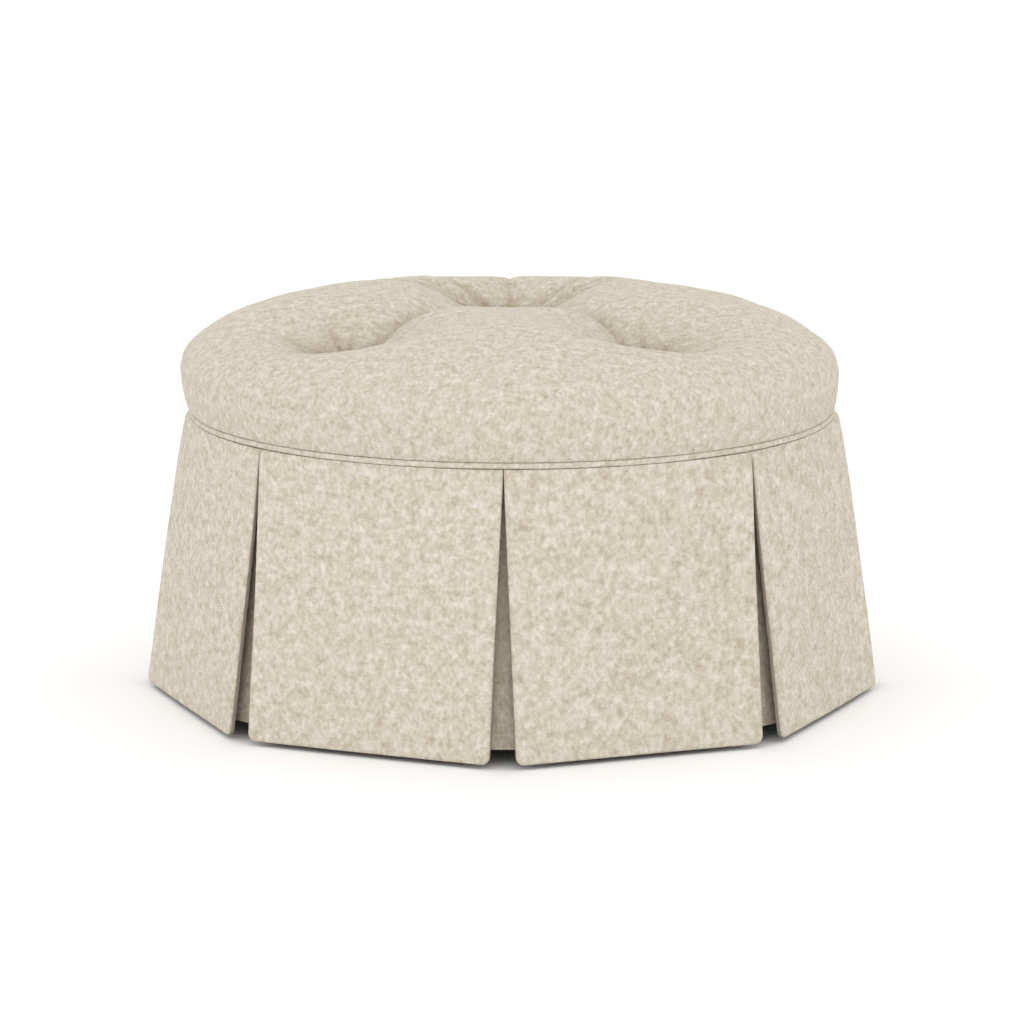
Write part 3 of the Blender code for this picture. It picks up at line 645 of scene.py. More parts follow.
def curveThrough(corners, steps=7):
    # Catmull-Rom through the corners
    corners = np.array(corners, dtype=float)
    padded = np.vstack([2 * corners[0] - corners[1], corners, 2 * corners[-1] - corners[-2]])
    points = []
    for start in range(len(corners) - 1):
        a, b, c, d = padded[start:start + 4]
        for step in range(steps):
            t = step / steps
            points.append(0.5 * (
                2 * b + (c - a) * t + (2 * a - 5 * b + 4 * c - d) * t ** 2
                + (3 * b - a - 3 * c + d) * t ** 3
            ))
    points.append(corners[-1])
    return np.array(points)


def nearestOnCurve(points, curve):
    # Distance to a line of points, and how far along it the nearest place is, from 0 to 1
    lengths = np.linalg.norm(np.diff(curve, axis=0), axis=1)
    run = np.concatenate([[0], np.cumsum(lengths)])
    best = np.full(len(points), np.inf)
    share = np.zeros(len(points))
    for number, (start, end) in enumerate(zip(curve, curve[1:])):
        along = end - start
        at = np.clip((points - start) @ along / (along @ along), 0, 1)
        distance = np.linalg.norm(points - start - at[:, None] * along, axis=1)
        closer = distance < best
        best[closer] = distance[closer]
        share[closer] = ((run[number] + at * lengths[number]) / run[-1])[closer]
    return best, share


def foldSink(points, fold):
    # Two full pillows that meet: steep at the line and flatter away from it
    corners, depth, reach, creaseShare, crease, fades = fold
    distance, share = nearestOnCurve(points, curveThrough(corners))
    window = np.ones(len(points))
    if fades[0]:
        window *= smoothStep(share, 0, fades[0])
    if fades[1]:
        window *= 1 - smoothStep(share, 1 - fades[1], 1)
    rounded = np.sqrt(distance ** 2 + pad["foldRound"] ** 2) - pad["foldRound"]
    narrow = np.exp(-rounded / crease)
    wide = (1 - np.minimum(1, rounded / reach)) ** pad["foldHollow"]
    shape = (1 - creaseShare) * wide + creaseShare * narrow
    return depth * shape * window, narrow * window


def puckerSink(points, well, seed):
    # Folds that fan out of a well
    random = np.random.default_rng(seed)
    offset = points - well
    distance = np.linalg.norm(offset, axis=1)
    around = np.arctan2(offset[:, 1], offset[:, 0])
    width = pucker["width"] + pucker["widening"] * distance
    total = np.zeros(len(points))
    for number in range(pucker["count"]):
        stray = random.uniform(-pucker["stray"], pucker["stray"])
        angle = (number + stray) * 2 * math.pi / pucker["count"]
        depth = random.uniform(*pucker["depth"])
        reach = random.uniform(*pucker["reach"])
        bend = random.uniform(-pucker["bend"], pucker["bend"])
        turn = around - angle - bend * distance
        turn = (turn + math.pi) % (2 * math.pi) - math.pi
        aside = distance * np.sin(np.clip(turn, -math.pi / 2, math.pi / 2))
        shape = np.exp(-np.abs(aside / width) ** pucker["sharpness"])
        shape = shape * (np.abs(turn) < pucker["fan"])
        fade = 1 - smoothStep(distance, reach * pucker["fadeFrom"], reach)
        total += depth * shape * (smoothStep(distance, *pucker["start"]) * fade)
    return total


def edgeSizes(turn):
    # Girth, its height and the shoulder's width at a turn round the middle
    lean = np.cos(turn)
    return (
        pad["girth"] - pad["leanGirth"] * (1 + lean),
        pad["girthHeight"] - pad["leanHeight"] * lean,
        pad["shoulder"] - pad["leanShoulder"] * lean,
    )


def domeHeight(radius, turn):
    girth, girthHeight, shoulder = edgeSizes(turn)
    share = np.clip((radius - girth + shoulder) / shoulder, 0, 1)
    curve = (1 - share ** pad["squareness"]) ** (1 / pad["squareness"])
    return girthHeight + (pad["crownHeight"] - girthHeight) * curve


def padSink(points):
    # How far the buttons, folds and puckers pull the crown down, and how much shade is painted
    # there
    dents, shares, nearButton = [], [], []
    for (x, y, seat), spread in zip(seats, pad["bowlSpread"]):
        top = domeHeight(math.hypot(x, y), math.atan2(y, x))
        reach = np.maximum(0, np.linalg.norm(points - (x, y), axis=1) - pad["buttonFlat"])
        bowl = np.exp(-((reach / spread) ** pad["bowlSharpness"]))
        pit = np.exp(-reach / pad["pitSpread"])
        share = pad["bowlShare"] * bowl + (1 - pad["bowlShare"]) * pit
        dents.append((top - seat + pad["underButton"]) * share)
        shares.append(share)
        near = (reach / pad["wellSpread"]) ** pad["wellSharpness"]
        nearButton.append(np.exp(-near))
    apart = 1 - np.max(shares, axis=0)
    troughs, paintedShades = zip(*(foldSink(points, fold) for fold in folds))
    trough = np.sqrt(sum(depth ** 2 for depth in troughs)) * np.sqrt(apart)
    offset = (points - pad["hollowPlace"]) / pad["hollowReach"]
    hollow = pad["hollow"] * np.exp(-(offset ** 2).sum(axis=1)) * apart
    total = np.sqrt(sum(dent ** 2 for dent in dents)) + trough + hollow
    puckered = sum(
        puckerSink(points, well, pucker["seed"] + number) for number, well in enumerate(wells)
    )
    total += puckered * (pucker["inWells"] + pucker["addedOutside"] * apart)
    lumps = softNoise(points, pad["lumpSeed"], pad["lumpLength"])
    total += pad["lumps"] * lumps * apart
    radius = np.linalg.norm(points, axis=1)
    dome = domeHeight(radius, np.arctan2(points[:, 1], points[:, 0]))
    floor = seats[:, 2].min() - pad["floorUnder"]
    above = dome - total - floor
    total = dome - floor - (above + np.sqrt(above ** 2 + pad["floorSoft"] ** 2)) / 2
    fade = 1 - np.minimum(1, radius / pad["girth"]) ** pad["fade"]
    # Painted shade: darkest at the buttons, and darker along the folds, troughs and puckers
    paintedShade = pad["wellShade"] * np.max(nearButton, axis=0)
    paintedShade = paintedShade + pad["foldShade"] * np.max(paintedShades, axis=0)
    paintedShade += pad["troughShade"] * trough
    paintedShade += pad["puckerShade"] * puckered
    return total * fade, np.clip(paintedShade, 0, 1) * fade * pad["creaseShade"]


def spacedBy(line, density, count):
    # count values along a line, closer together where the density is higher
    middle = (density[1:] + density[:-1]) / 2
    run = np.concatenate([[0], np.cumsum(middle * np.diff(line))])
    return np.interp(np.linspace(0, run[-1], count), run, line)


def padTurns():
    line = np.linspace(-math.pi, math.pi, 2000)
    density = np.ones(len(line))
    for x, y in wells:
        away = np.abs((line - math.atan2(y, x) + math.pi) % (2 * math.pi) - math.pi)
        density += padMesh["finer"] * np.exp(-((away / padMesh["finerTurn"]) ** 2))
    return spacedBy(line, density, padMesh["around"] + 1)[:-1]


def crownShares():
    # The rings' shares of the girth, closer together where the crown is steep and at the wells
    edge = padMesh["edge"]
    inside, outside = padMesh["samples"]
    line = np.concatenate([
        np.linspace(padMesh["firstRing"], 1 - edge, inside),
        1 - edge * np.linspace(1, 0, outside)[1:] ** 2,
    ])
    radius = line * pad["girth"]
    rise = np.gradient(domeHeight(radius, math.pi / 2), radius)
    density = np.sqrt(1 + np.minimum(rise ** 2, padMesh["steepest"]))
    near = (radius - padMesh["finerAt"]) / padMesh["finerWidth"]
    density += padMesh["finer"] * np.exp(-(near ** 2))
    return spacedBy(line, density, padMesh["crownRows"])


def padSurface():
    # Rings from the middle of the crown to the girth, then under it and down behind the welt
    turns = padTurns()
    girth, girthHeight = edgeSizes(turns)[:2]
    radius = crownShares()[:, None] * girth
    crown = ringAt(turns, radius, domeHeight(radius, turns))
    sunk, paintedShade = padSink(crown[:, :, :2].reshape(-1, 2))
    crown[:, :, 2] -= sunk.reshape(radius.shape)
    foot, rest, seat = pad["foot"], pad["restOut"], pad["seatHeight"]
    bend = 2 / pad["undersideSquareness"]
    side = []
    for turn in np.linspace(math.pi / 2, 0, padMesh["underRows"] + 1)[1:]:
        side.append((
            rest + (girth - rest) * math.sin(turn) ** bend,
            seat + (girthHeight - seat) * (1 - max(0.0, math.cos(turn)) ** bend),
        ))
    side += [(r, seat) for r in np.linspace(rest, foot, padMesh["restRows"] + 1)[1:]]
    stem = np.linspace(seat, pad["lowEdge"], padMesh["stemRows"] + 1)[1:]
    side += [(foot, height) for height in stem]
    side = np.array([ringAt(turns, r, height) for r, height in side])
    points = np.concatenate([crown, side])
    paintedShade = np.vstack([paintedShade.reshape(radius.shape), np.zeros(side.shape[:2])])
    steps = np.linalg.norm(np.diff(points, axis=0), axis=2).mean(axis=1)
    run = np.concatenate([[0], np.cumsum(steps)])[:, None]
    return points, ringAt(turns, run, 0.0), paintedShade


def addCushion():
    points, places, paintedShade = padSurface()
    cover = roundMesh("cushionCover", points, "linen", places, paintedShade, (True, False))
    thicken(cover, pad["cloth"])
    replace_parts(cover, "cushion_cover")
    return cover, points


cushionCover, padPoints = addCushion()
print("cushion cover made")


# Wadding and foam under the cover

filling = {
    "below": 0.0024,  # cover face to wadding
    "skip": 3,  # the wadding's mesh is this much coarser than the cover's
    "inner": 0.8,  # share of the girth in which it keeps under every crease
    "drawIn": 1.8,  # how far its side is drawn in, against the depth below the cover
    "drawInFrom": (0.3, 0.38),
    "foamGap": 0.0006,
    "foamEdge": 0.022,
    "foamSteps": 160,
    "eye": 0.02,  # radius of the innermost ring of a flat
    "twineHole": 0.0035,
    "holeSides": 24,
    "holeOver": 0.08,
    "holeUnder": 0.02,
}


def lowestNear(heights, reach):
    # Lowest height among the neighbours, so that coarser wadding stays under every crease
    low = heights.copy()
    for shift in range(1, reach + 1):
        low = np.minimum(low, np.minimum(np.roll(heights, shift, 1), np.roll(heights, -shift, 1)))
    spread = low.copy()
    for shift in range(1, reach + 1):
        spread[shift:] = np.minimum(spread[shift:], low[:-shift])
        spread[:-shift] = np.minimum(spread[:-shift], low[shift:])
    return spread


def applyModifiers(piece):
    graph = bpy.context.evaluated_depsgraph_get()
    made = bpy.data.meshes.new_from_object(piece.evaluated_get(graph))
    piece.modifiers.clear()
    old = piece.data
    piece.data = made
    bpy.data.meshes.remove(old)


def pierce(piece, top, bottom):
    # Holes for the tufting twines, cut and applied
    bm = bmesh.new()
    for x, y in wells:
        made = bmesh.ops.create_cone(
            bm, cap_ends=True, segments=filling["holeSides"], radius1=filling["twineHole"],
            radius2=filling["twineHole"], depth=top - bottom,
        )
        bmesh.ops.translate(bm, verts=made["verts"], vec=(x, y, (top + bottom) / 2))
    mesh = bpy.data.meshes.new("holes")
    bm.to_mesh(mesh)
    bm.free()
    cutter = bpy.data.objects.new("holes", mesh)
    scene.collection.objects.link(cutter)
    modifier = piece.modifiers.new("holes", "BOOLEAN")
    modifier.operation = "DIFFERENCE"
    modifier.solver = "EXACT"
    modifier.object = cutter
    applyModifiers(piece)
    bpy.data.objects.remove(cutter, do_unlink=True)


def roundedEdge(side, top, turns):
    # The foam's rounded upper edge
    edge = filling["foamEdge"]
    return [(side - edge + edge * math.cos(t), top - edge + edge * math.sin(t)) for t in turns]


def addFilling():
    foamLow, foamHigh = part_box("foam_core")
    gap, skip, below = filling["foamGap"], filling["skip"], filling["below"]
    edge, eye = filling["foamEdge"], filling["eye"]
    rows = padPoints.copy()
    turns = np.arctan2(rows[-1, :, 1], rows[-1, :, 0])
    radius = np.linalg.norm(rows[:, :, :2], axis=2)
    onCrown = np.arange(len(rows)) < padMesh["crownRows"]
    inner = onCrown & (radius.mean(axis=1) < filling["inner"] * pad["girth"])
    rows[inner, :, 2] = lowestNear(rows[:, :, 2], skip)[inner]
    rows[onCrown, :, 2] -= below
    drawnIn = filling["drawIn"] * below / radius * smoothStep(radius, *filling["drawInFrom"])
    rows[:, :, :2] *= (1 - drawnIn)[:, :, None]
    above = rows[:, :, 2].min(axis=1) > deckTop + gap
    rows = rows[above][::skip, ::skip]
    turns = turns[::skip]

    outerFoot = np.linalg.norm(rows[-1][:, :2], axis=1).min()
    side, top = foamHigh[0] + gap, foamHigh[2] + gap
    inside = [(outerFoot, deckTop + gap), (side, deckTop + gap)]
    inside += roundedEdge(side, top, np.linspace(0, math.pi / 2, 7))
    inside += [(r, top) for r in np.linspace(side - edge, eye, 24)[1:]]
    rows = np.concatenate([rows, np.array([ringAt(turns, r, h) for r, h in inside])])
    wadding = roundMesh("wadding", rows, "batting", poles=(True, True))

    side, top, bottom = foamHigh[0], foamHigh[2], foamLow[2]
    profile = [(r, top) for r in np.linspace(eye, side - edge, 18)]
    profile += roundedEdge(side, top, np.linspace(math.pi / 2, 0, 9)[1:])
    profile += [(side, height) for height in np.linspace(top - edge, bottom, 6)[1:]]
    profile += [(r, bottom) for r in np.linspace(side, eye, 12)[1:]]
    turns = roundTurns(filling["foamSteps"])
    rows = np.array([ringAt(turns, r, h) for r, h in profile])
    foam = roundMesh("foamSlab", rows, "foam", poles=(True, True))
    for piece in (wadding, foam):
        pierce(piece, top + filling["holeOver"], bottom - filling["holeUnder"])
    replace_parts(wadding, "batting")
    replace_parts(foam, "foam_core")
    return wadding, foam


wadding, foamSlab = addFilling()
print("wadding and foam made")


# Covered buttons in the wells

button = {
    "dome": 0.0065,
    "foot": 0.0015,
    "gathers": 14,
    "gatherDepth": 0.00025,
    "around": 84,
    "domeRows": 14,
    "firstTurn": 0.08,
    "rimRows": 4,
    "backShare": 0.4,  # of the radius, where the back's last ring is
    "boltStep": 0.3,  # keeps the buttons' cloths apart on the bolt
    # painted shade over the whole covered button, sitting deep in its well
    "crease": 0.5,
}


def addButtons():
    turns = roundTurns(button["around"])
    foot, rise = button["foot"], button["dome"] - button["foot"]
    for number, seat in enumerate(seats, 1):
        low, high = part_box(f"tuft_button_{number}")
        radius = (high[0] - low[0]) / 2
        profile = []
        for turn in np.linspace(button["firstTurn"], math.pi / 2, button["domeRows"]):
            profile.append((radius * math.sin(turn), foot + rise * math.cos(turn)))
        for turn in np.linspace(0, math.pi / 2, button["rimRows"] + 1)[1:]:
            profile.append((radius - foot * (1 - math.cos(turn)), foot * (1 - math.sin(turn))))
        profile.append((radius * button["backShare"], 0.0))
        rows, places = [], []
        for r, height in profile:
            gather = button["gatherDepth"] * (r / radius) ** 3
            ripple = 1 + gather / radius * np.cos(button["gathers"] * turns + number)
            rows.append(ringAt(turns, r * ripple, height) + seat)
            places.append(ringAt(turns, r, button["boltStep"] * number))
        rows, places = np.array(rows), np.array(places)
        paintedShade = np.full(rows.shape[:2], button["crease"])
        piece = roundMesh(
            f"coveredButton{number}", rows, "linen", places, paintedShade, (True, True),
        )
        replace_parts(piece, f"tuft_button_{number}")


addButtons()
print("buttons made")


# Welt: the covered cord and its sewn flange, in one turned section

welt = {
    "radius": 0.00375,
    "centre": 0.40085,
    "flangeIn": 0.3924,
    "flangeOut": 0.3936,
    "flangeDepth": 0.014,
    "flangeRows": 5,
    "seam": 0.0016,
    "around": 720,
    "arcSteps": 22,
    "wander": 0.00012,
    "wanderLength": 0.12,
    "bunching": 0.00012,
    "bunchLength": 0.011,
    "seed": 21,
    "pressed": 2.8,  # 2 is a round cord, and more is one pressed between pad and skirt
    "tuckShade": (-0.1, 0.75),  # the cord's painted shade fades out between these shares of its radius
    "creaseShade": 0.30,
    "boltPlace": 2.0,
}


def weltSection():
    # Radius, height, share of the cord's ripples, and its painted shade, 1 where the cord meets
    # its neighbours
    half = welt["seam"] / 2
    entry = math.asin(half / welt["radius"])
    bend = 2 / welt["pressed"]
    section = [(welt["flangeIn"], half, 0.0, 1.0)]
    for turn in np.linspace(math.pi - entry, entry - math.pi, welt["arcSteps"]):
        outward, rise = math.cos(turn), math.sin(turn)
        tuckShade = 1 - float(smoothStep(outward, *welt["tuckShade"]))
        if outward > 0:
            outward = outward ** bend
            rise = math.copysign(abs(rise) ** bend, rise)
        out = welt["centre"] + welt["radius"] * outward
        section.append((out, welt["radius"] * rise, 1.0, tuckShade))
    low, rows = -welt["flangeDepth"], welt["flangeRows"]
    section += [(welt["flangeOut"], z, 0.0, 1.0) for z in np.linspace(-half, low, rows)]
    section += [(welt["flangeIn"], z, 0.0, 1.0) for z in np.linspace(low, half, rows + 1)[:-1]]
    return section


def addWelt():
    turns = roundTurns(welt["around"])
    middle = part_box("welt")[0][2] + welt["flangeDepth"]
    circle = np.stack([np.cos(turns), np.sin(turns)], axis=1) * welt["centre"]
    lift = welt["wander"] * softNoise(circle, welt["seed"], welt["wanderLength"])
    swell = welt["bunching"] * softNoise(circle, welt["seed"] + 1, welt["bunchLength"])
    along = turns * welt["centre"]
    bias = math.sqrt(0.5)  # the cord's cloth is cut on the bias
    section = weltSection()
    rows, places, paintedShades = [], [], []
    run = 0.0
    last = section[0]
    for r, z, cord, tuckShade in section:
        run += math.hypot(r - last[0], z - last[1])
        last = (r, z)
        radius = r + cord * swell * (r - welt["centre"]) / welt["radius"]
        height = middle + z + cord * (lift + swell * z / welt["radius"])
        rows.append(ringAt(turns, radius, height))
        flat = [(along + run) * bias, (along - run) * bias, np.full(len(turns), welt["boltPlace"])]
        places.append(np.stack(flat, axis=1))
        paintedShades.append(np.full(len(turns), tuckShade * welt["creaseShade"]))
    piece = roundMesh(
        "weltCord", np.array(rows), "linen", np.array(places), np.array(paintedShades), closed=True,
    )
    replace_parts(piece, "welt")


addWelt()
print("welt made")


# Skirt: flat panels that fall from the round of the deck to a straight hem

skirt = {
    "count": 8,
    "top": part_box("skirt_panel_1")[1][2],
    "hem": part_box("skirt_panel_1")[0][2],
    "settle": 0.022,  # drop in which the cloth leaves the round of the deck
    "settleShape": 0.65,
    "cornerStand": 0.36,
    "startStand": 0.13,  # share of the corners' standing off just under the welt
    "startDrop": 0.005,
    "topShift": {2: 0.0095, 8: -0.0120},  # pleats whose top is sewn further round, in metres
    "shiftFade": 0.25,
    "hemShift": 0.37,  # share of the shift that the hem swings back by
    "swellDrop": 0.060,
    "rippleLength": 0.16,
    "rippleWaves": 8,
    "hemWaves": 2.4,  # radians from the middle of a panel to its side
    "boltStep": (0.9, 0.37, 0.13),  # from one panel's cloth to the next
    "backPlace": (0.7, 0.2, 0.0),  # from a face's cloth to its back's
    "underlayPlace": (0.4, 0.8, 0.5),
}
sheetMesh = {
    "finest": 0.0004,  # step at the rim
    "growth": 0.35,
    "column": 0.0055,
    "row": 0.0075,
    "shoulder": 0.030,  # height of the finer rows under the welt
    "shoulderRows": 10,
    "leastCorner": 0.0015,
    "straight": 0.80,  # share of the half width that the rounded corners leave straight
}
facePanel = {
    "slot": "linen", "seed": 100, "openTop": True,
    "topHalf": 0.15807, "hemHalf": 0.16102, "topFace": 0.4033, "hemFace": 0.43339,
    "inset": 0.0, "lift": 0.0, "topDrop": 0.0, "depth": 0.0,
    "thickness": 0.0042, "cloth": 0.0011, "corner": 0.010,
    "foldWidth": 0.0038,  # how wide the turned edge looks from the front
    "foldDepth": 0.0024, "backFold": 0.0014,
    "swell": 0.0030,  # how much thicker the turned edges hang below the welt
    "bow": 0.0010, "ripple": 0.0006, "hemWave": 0.0012,
    "creaseShade": 0.9, "edgeShade": 0.34, "edgeWidth": 0.0016,
    "backShade": (0.32, 0.68),  # at the rim, and what is added inside it
    "backFrom": (0.0010, 0.0050),
}
lining = {
    **facePanel,
    "slot": "buckram", "openTop": False,
    "inset": 0.0075, "lift": 0.0075, "topDrop": 0.004, "depth": 0.0014, "thickness": 0.0014,
    "foldWidth": 0.0004, "foldDepth": 0.0007, "backFold": 0.0004, "swell": 0.0,
}
underlay = {
    **facePanel,
    "seed": 200, "openTop": False,
    "topHalf": 0.0446, "hemHalf": 0.0550, "topFace": 0.3976, "hemFace": 0.43977,
    "thickness": 0.0020, "lift": 0.014, "corner": 0.006,
    "foldWidth": 0.0020, "foldDepth": 0.0012, "backFold": 0.0008, "swell": 0.0,
    "bow": 0.0, "ripple": 0.0004, "hemWave": 0.0,
    "creaseShade": 0.30, "topShade": 0.20, "sideShade": 0.12, "sideFrom": (0.10, 0.32),
}


def spreadOut(length, coarse):
    # Distances from 0 to length, fine at the start and evenly coarse later
    steps = [0.0]
    while steps[-1] < length:
        step = sheetMesh["finest"] + sheetMesh["growth"] * steps[-1]
        steps.append(steps[-1] + min(coarse, step))
    return np.array(steps[:-1] + [length])


def edgeDistance(across, height, half, corner):
    # How far a point is inside a sheet's sides and hem, with rounded lower corners
    aside = np.abs(across) - (half - corner)
    below = corner - height
    rounded = corner - np.hypot(np.maximum(aside, 0), np.maximum(below, 0))
    inCorner = (aside > 0) & (below > 0)
    return np.where(inCorner, rounded, np.minimum(half - np.abs(across), height))


def foldCurve(distance, width, depth):
    share = 1 - np.clip(distance / width, 0, 1)
    return depth * (1 - np.sqrt(np.maximum(0, 1 - share ** 2)))


def sheetPoint(size, across, height, depth, shifts):
    # across is in shares of the half width; depth is measured inwards from the face
    turn = across * size["topHalf"] / size["topFace"]
    radius = size["topFace"] - depth
    corner = 1 / np.cos(turn) - 1
    drop = np.maximum(0, skirt["top"] - height)
    share = drop / (skirt["top"] - skirt["hem"])
    leaving = 1 - np.exp(-((drop / skirt["settle"]) ** skirt["settleShape"]))
    underWelt = np.sqrt(smoothStep(drop, 0, skirt["startDrop"]))
    hem = [size["hemFace"] - depth, across * size["hemHalf"]]
    at = []
    for direction, end in zip([np.cos(turn), np.sin(turn)], hem):
        start = radius * direction * (1 + skirt["startStand"] * corner * underWelt)
        stoodOff = radius * direction * (1 + skirt["cornerStand"] * corner)
        fallen = stoodOff + (end - stoodOff) * share
        at.append(start + (fallen - start) * leaving)
    # A pleat whose top is sewn further round swings back on its way down
    shift = shifts[0] + (shifts[1] - shifts[0]) * (across + 1) / 2
    swing = np.exp(-share / skirt["shiftFade"]) - skirt["hemShift"] * share
    x, y = turnedBy(*at, swing * shift / size["topFace"])
    return np.stack([x, y, height], axis=-1)


def sheetGrid(size):
    # Shares across, heights and distances from the rim, of a grid that follows the corners
    half = size["hemHalf"] - size["inset"]
    corner = max(size["corner"] - size["inset"], sheetMesh["leastCorner"])
    hemHeight = skirt["hem"] + size["lift"]
    tall = skirt["top"] - size["topDrop"] - hemHeight
    fromEdge = spreadOut(half, sheetMesh["column"])[:-1]
    columns = np.concatenate([-half + fromEdge, [0.0], (half - fromEdge)[::-1]])
    shoulder = sheetMesh["shoulder"]
    nearTop = shoulder * np.linspace(1, 0, sheetMesh["shoulderRows"] + 1)[1:] ** 2
    fromHem = spreadOut(tall - shoulder, sheetMesh["row"])
    fromHem = np.concatenate([fromHem, tall - nearTop])[::-1]
    drawIn = np.zeros(len(fromHem))
    low = fromHem < corner
    drawIn[low] = corner - np.sqrt(np.maximum(0, corner ** 2 - (corner - fromHem[low]) ** 2))
    wide = 1 - drawIn / half
    # Only the outer part of each row closes up, so that the middle of the grid stays straight
    squeeze = smoothStep(np.abs(columns) / half, sheetMesh["straight"], 1.0)
    across = columns * (1 - (1 - wide[:, None]) * squeeze)
    fromHem = fromHem[:, None] * np.ones_like(across)
    distance = np.maximum(0, edgeDistance(across, fromHem, half, corner))
    distance[:, 0] = distance[:, -1] = 0
    distance[-1] = 0
    return across / size["hemHalf"], hemHeight + fromHem, distance


def closedSheet(name, size, bend, turn, offset, shade, shifts):
    # A face and a back that share their sides and hem
    across, height, distance = sheetGrid(size)
    swell = size["swell"] * smoothStep(skirt["top"] - height, 0, skirt["swellDrop"])
    thickness = size["thickness"] + swell
    faceDepth = size["depth"] + foldCurve(distance, size["foldWidth"], size["foldDepth"])
    backFold = foldCurve(distance, size["backFold"], thickness - size["foldDepth"])
    backDepth = size["depth"] + thickness - backFold
    backDepth[distance == 0] = faceDepth[distance == 0]
    push = bend(across, height)
    face = sheetPoint(size, across, height, faceDepth - push, shifts)
    rear = sheetPoint(size, across, height, backDepth - push, shifts)
    rows, columns = across.shape
    numbers = np.arange(rows * columns).reshape(rows, columns)
    inner = np.zeros((rows, columns), dtype=bool)
    inner[:-1, 1:-1] = True
    rearNumbers = numbers.copy()
    rearNumbers[inner] = rows * columns + np.arange(inner.sum())
    faces = [quadsBetween(numbers, False), quadsBetween(rearNumbers, False)[:, ::-1]]
    faces = np.concatenate(faces).tolist()
    if not size["openTop"]:
        for column in range(columns - 1):
            ring = [numbers[0, column], numbers[0, column + 1],
                    rearNumbers[0, column + 1], rearNumbers[0, column]]
            kept = list(dict.fromkeys(int(n) for n in ring))
            if len(kept) > 2:
                faces.append(kept)
    points = np.concatenate([face.reshape(-1, 3), rear[inner]])
    points[:, 0], points[:, 1] = turnedBy(points[:, 0], points[:, 1], turn)
    flat = np.stack([across * size["hemHalf"], height, np.zeros_like(across)], axis=2)
    back = flat[inner] + skirt["backPlace"]
    places = np.concatenate([flat.reshape(-1, 3), back]) + offset
    faceShade, rearShade = shade(across, height, distance)
    paintedShade = np.concatenate([faceShade.ravel(), rearShade[inner]])
    return newPiece(name, points, faces, size["slot"], places, paintedShade)


def sheetBend(seed, size):
    # Seeded bow, ripple and hem wave of one sheet, shared by its layers
    random = np.random.default_rng(seed)
    bow = size["bow"] * random.uniform(-1.0, 1.0)
    twist = size["bow"] * random.uniform(-1.0, 1.0)
    hemWave = size["hemWave"] * random.uniform(0.4, 1.0)
    phase = random.uniform(0, 2 * math.pi)

    def bend(across, heights):
        down = np.clip((skirt["top"] - heights) / (skirt["top"] - skirt["hem"]), 0, 1)
        flat = np.stack([(across * size["hemHalf"]).ravel(), heights.ravel()], axis=1)
        ripple = softNoise(flat, seed, skirt["rippleLength"], skirt["rippleWaves"])
        ripple = ripple.reshape(across.shape) * size["ripple"]
        push = (bow * (1 - across ** 2) + twist * across + ripple) * down
        return push + hemWave * np.sin(skirt["hemWaves"] * across + phase) * down ** 3

    return bend


def panelShade(across, height, distance):
    # Painted shade: the turned edge darkens towards the pleat, and the lining side gets painted
    # shade
    edge = facePanel["edgeShade"] * np.exp(-distance / facePanel["edgeWidth"])
    rim, inside = facePanel["backShade"]
    lined = rim + inside * smoothStep(distance, *facePanel["backFrom"])
    return facePanel["creaseShade"] * edge, facePanel["creaseShade"] * lined


def underlayShade(across, height, distance):
    # Painted shade in the pleat, deepest at its sides and at its top
    down = (skirt["top"] - height) / (skirt["top"] - skirt["hem"])
    deep = underlay["creaseShade"] + underlay["topShade"] * (1 - down)
    aside = smoothStep(np.abs(across), *underlay["sideFrom"])
    return np.clip(deep + underlay["sideShade"] * aside, 0, 1), np.ones(across.shape)


def noShade(across, height, distance):
    return np.zeros(across.shape), np.zeros(across.shape)


def addSkirt():
    frontAngle = -math.pi / 2
    step = 2 * math.pi / skirt["count"]
    panels, linings, underlays = [], [], []
    for number in range(1, skirt["count"] + 1):
        angle = frontAngle + (number - 0.5) * step
        following = number % skirt["count"] + 1
        shifts = (skirt["topShift"].get(number, 0.0), skirt["topShift"].get(following, 0.0))
        offset = np.array(skirt["boltStep"]) * number
        bend = sheetBend(facePanel["seed"] + number, facePanel)
        panel = closedSheet(
            f"skirtPanel{number}", facePanel, bend, angle, offset, panelShade, shifts,
        )
        thicken(panel, facePanel["cloth"])
        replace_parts(panel, f"skirt_panel_{number}")
        stiff = closedSheet(f"panelLining{number}", lining, bend, angle, offset, noShade, shifts)
        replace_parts(stiff, f"panel_stiffener_{number}")
        bend = sheetBend(underlay["seed"] + number, underlay)
        under = closedSheet(
            f"pleatUnderlay{number}", underlay, bend, frontAngle + (number - 1) * step,
            offset + skirt["underlayPlace"], underlayShade, (shifts[0], shifts[0]),
        )
        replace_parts(under, f"pleat_underlay_{number}")
        panels.append(panel)
        linings.append(stiff)
        underlays.append(under)
    return panels, linings, underlays


skirtPanels, panelLinings, pleatUnderlays = addSkirt()
print("skirt made")


# Dust cover: a finer, slightly sagging copy of the cloth under the base board

dustCover = {
    "weld": 0.00001,
    "flat": 0.02,  # radians within which neighbouring faces are one
    "cuts": 3,
    "longest": 0.018,
    "sag": 0.0012,
    "edge": 0.05,  # from the rim in to where it hangs free
    "sagShares": (0.6, 0.4),  # even and uneven
    "length": 0.09,
    "seed": 31,
}


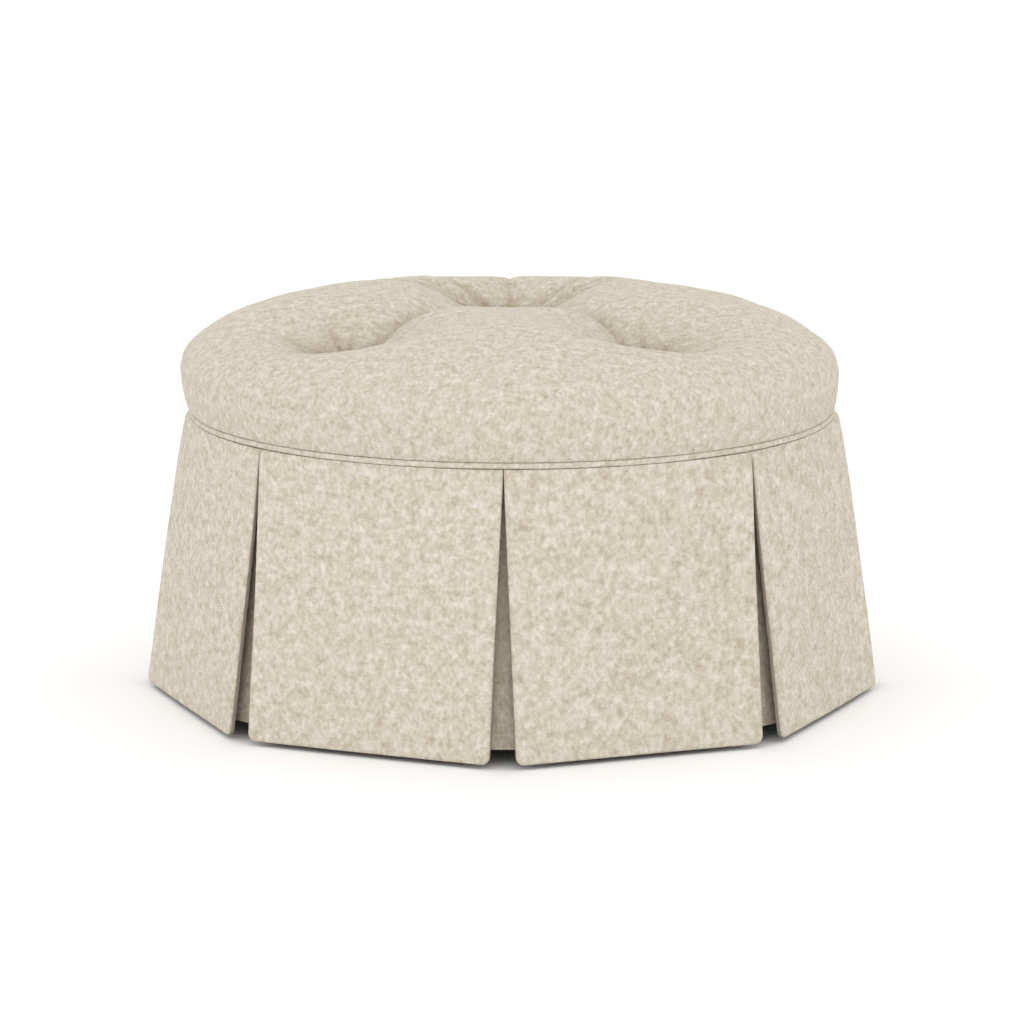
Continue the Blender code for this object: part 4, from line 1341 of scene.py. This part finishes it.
def addDustCover():
    bm = bmesh.new()
    bm.from_mesh(bpy.data.objects["dust_cover"].data)
    bmesh.ops.remove_doubles(bm, verts=bm.verts, dist=dustCover["weld"])
    bmesh.ops.dissolve_limit(bm, angle_limit=dustCover["flat"], verts=bm.verts, edges=bm.edges)
    bmesh.ops.triangulate(bm, faces=bm.faces)
    for _ in range(dustCover["cuts"]):
        long = [edge for edge in bm.edges if edge.calc_length() > dustCover["longest"]]
        bmesh.ops.subdivide_edges(bm, edges=long, cuts=1, use_grid_fill=True)
        bmesh.ops.triangulate(bm, faces=[face for face in bm.faces if len(face.verts) > 3])
    points = np.array([tuple(vert.co) for vert in bm.verts])
    radius = np.linalg.norm(points[:, :2], axis=1)
    hang = smoothStep(radius.max() - radius, 0.0, dustCover["edge"])
    even, uneven = dustCover["sagShares"]
    ripple = softNoise(points, dustCover["seed"], dustCover["length"])
    sag = dustCover["sag"] * hang * (even + uneven * ripple)
    for vert, drop in zip(bm.verts, sag):
        vert.co.z -= max(0.0, float(drop))
    faces = [[vert.index for vert in face.verts] for face in bm.faces]
    points = [tuple(vert.co) for vert in bm.verts]
    bm.free()
    piece = newPiece("dustCloth", points, faces, "cambric")
    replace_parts(piece, "dust_cover")
    return piece


dustCloth = addDustCover()
print("dust cover made")


# Every other node keeps its shape and gets its slot's finish
replacedNodes = set()
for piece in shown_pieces():
    replacedNodes.update(piece.get("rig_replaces", []))
for part in frame["record"]["subparts"]:
    if part["node"] not in replacedNodes:
        node = bpy.data.objects[part["node"]]
        node.data.materials.clear()
        node.data.materials.append(materials[part["material_slot"]])
print("finishes set on the carried-over nodes")


print("all pieces built")


# Floor and light

studio = {
    "floorHalf": 60.0,
    "floorColour": (0.97, 0.97, 0.965),
    "floorShade": 0.99,  # of that colour, in its darker clouds
    "cloudRate": (3.0, 3.0, 3.0),
    "floorShader": {"Roughness": 0.9, "Specular IOR Level": 0.1},
    "skyStrength": 1.13,
    "keyPlace": (-0.5, -5.0, 2.2),
    "keyAim": (0.0, 0.0, 0.25),
    "keySize": 4.0,
    "keyPower": 28.0,
}


def addFloor():
    half = studio["floorHalf"]
    corners = [(-half, -half, 0), (half, -half, 0), (half, half, 0), (-half, half, 0)]
    mesh = bpy.data.meshes.new("floor")
    mesh.from_pydata(corners, [], [(0, 1, 2, 3)])
    floor = bpy.data.objects.new("floor", mesh)
    scene.collection.objects.link(floor)
    material = bpy.data.materials.new("pale floor")
    material.use_nodes = True
    tree = material.node_tree
    shader = tree.nodes["Principled BSDF"]
    place = addNode(tree, "ShaderNodeTexCoord").outputs["Object"]
    cloudy = noise(tree, stretched(tree, place, studio["cloudRate"]), 3.0)
    pale = studio["floorColour"]
    darker = tuple(studio["floorShade"] * value for value in pale)
    tree.links.new(blended(tree, cloudy, pale, darker), shader.inputs["Base Color"])
    for label, value in studio["floorShader"].items():
        setInput(tree, shader.inputs[label], value)
    mesh.materials.append(material)


def addLight():
    world = bpy.data.worlds.new("studio")
    world.use_nodes = True
    background = world.node_tree.nodes["Background"]
    background.inputs["Color"].default_value = (1.0, 1.0, 1.0, 1.0)
    background.inputs["Strength"].default_value = studio["skyStrength"]
    scene.world = world

    data = bpy.data.lights.new("key", "AREA")
    data.shape = "SQUARE"
    data.size = studio["keySize"]
    data.energy = studio["keyPower"]
    key = bpy.data.objects.new("key", data)
    scene.collection.objects.link(key)
    key.location = studio["keyPlace"]
    aim = np.array(studio["keyAim"]) - np.array(studio["keyPlace"])
    key.rotation_euler = (
        math.atan2(math.hypot(aim[0], aim[1]), -aim[2]), 0, math.atan2(-aim[0], aim[1]),
    )
    key.visible_camera = False
    scene.view_settings.view_transform = "Standard"
    scene.view_settings.look = "None"


addFloor()
addLight()
print("studio lit")
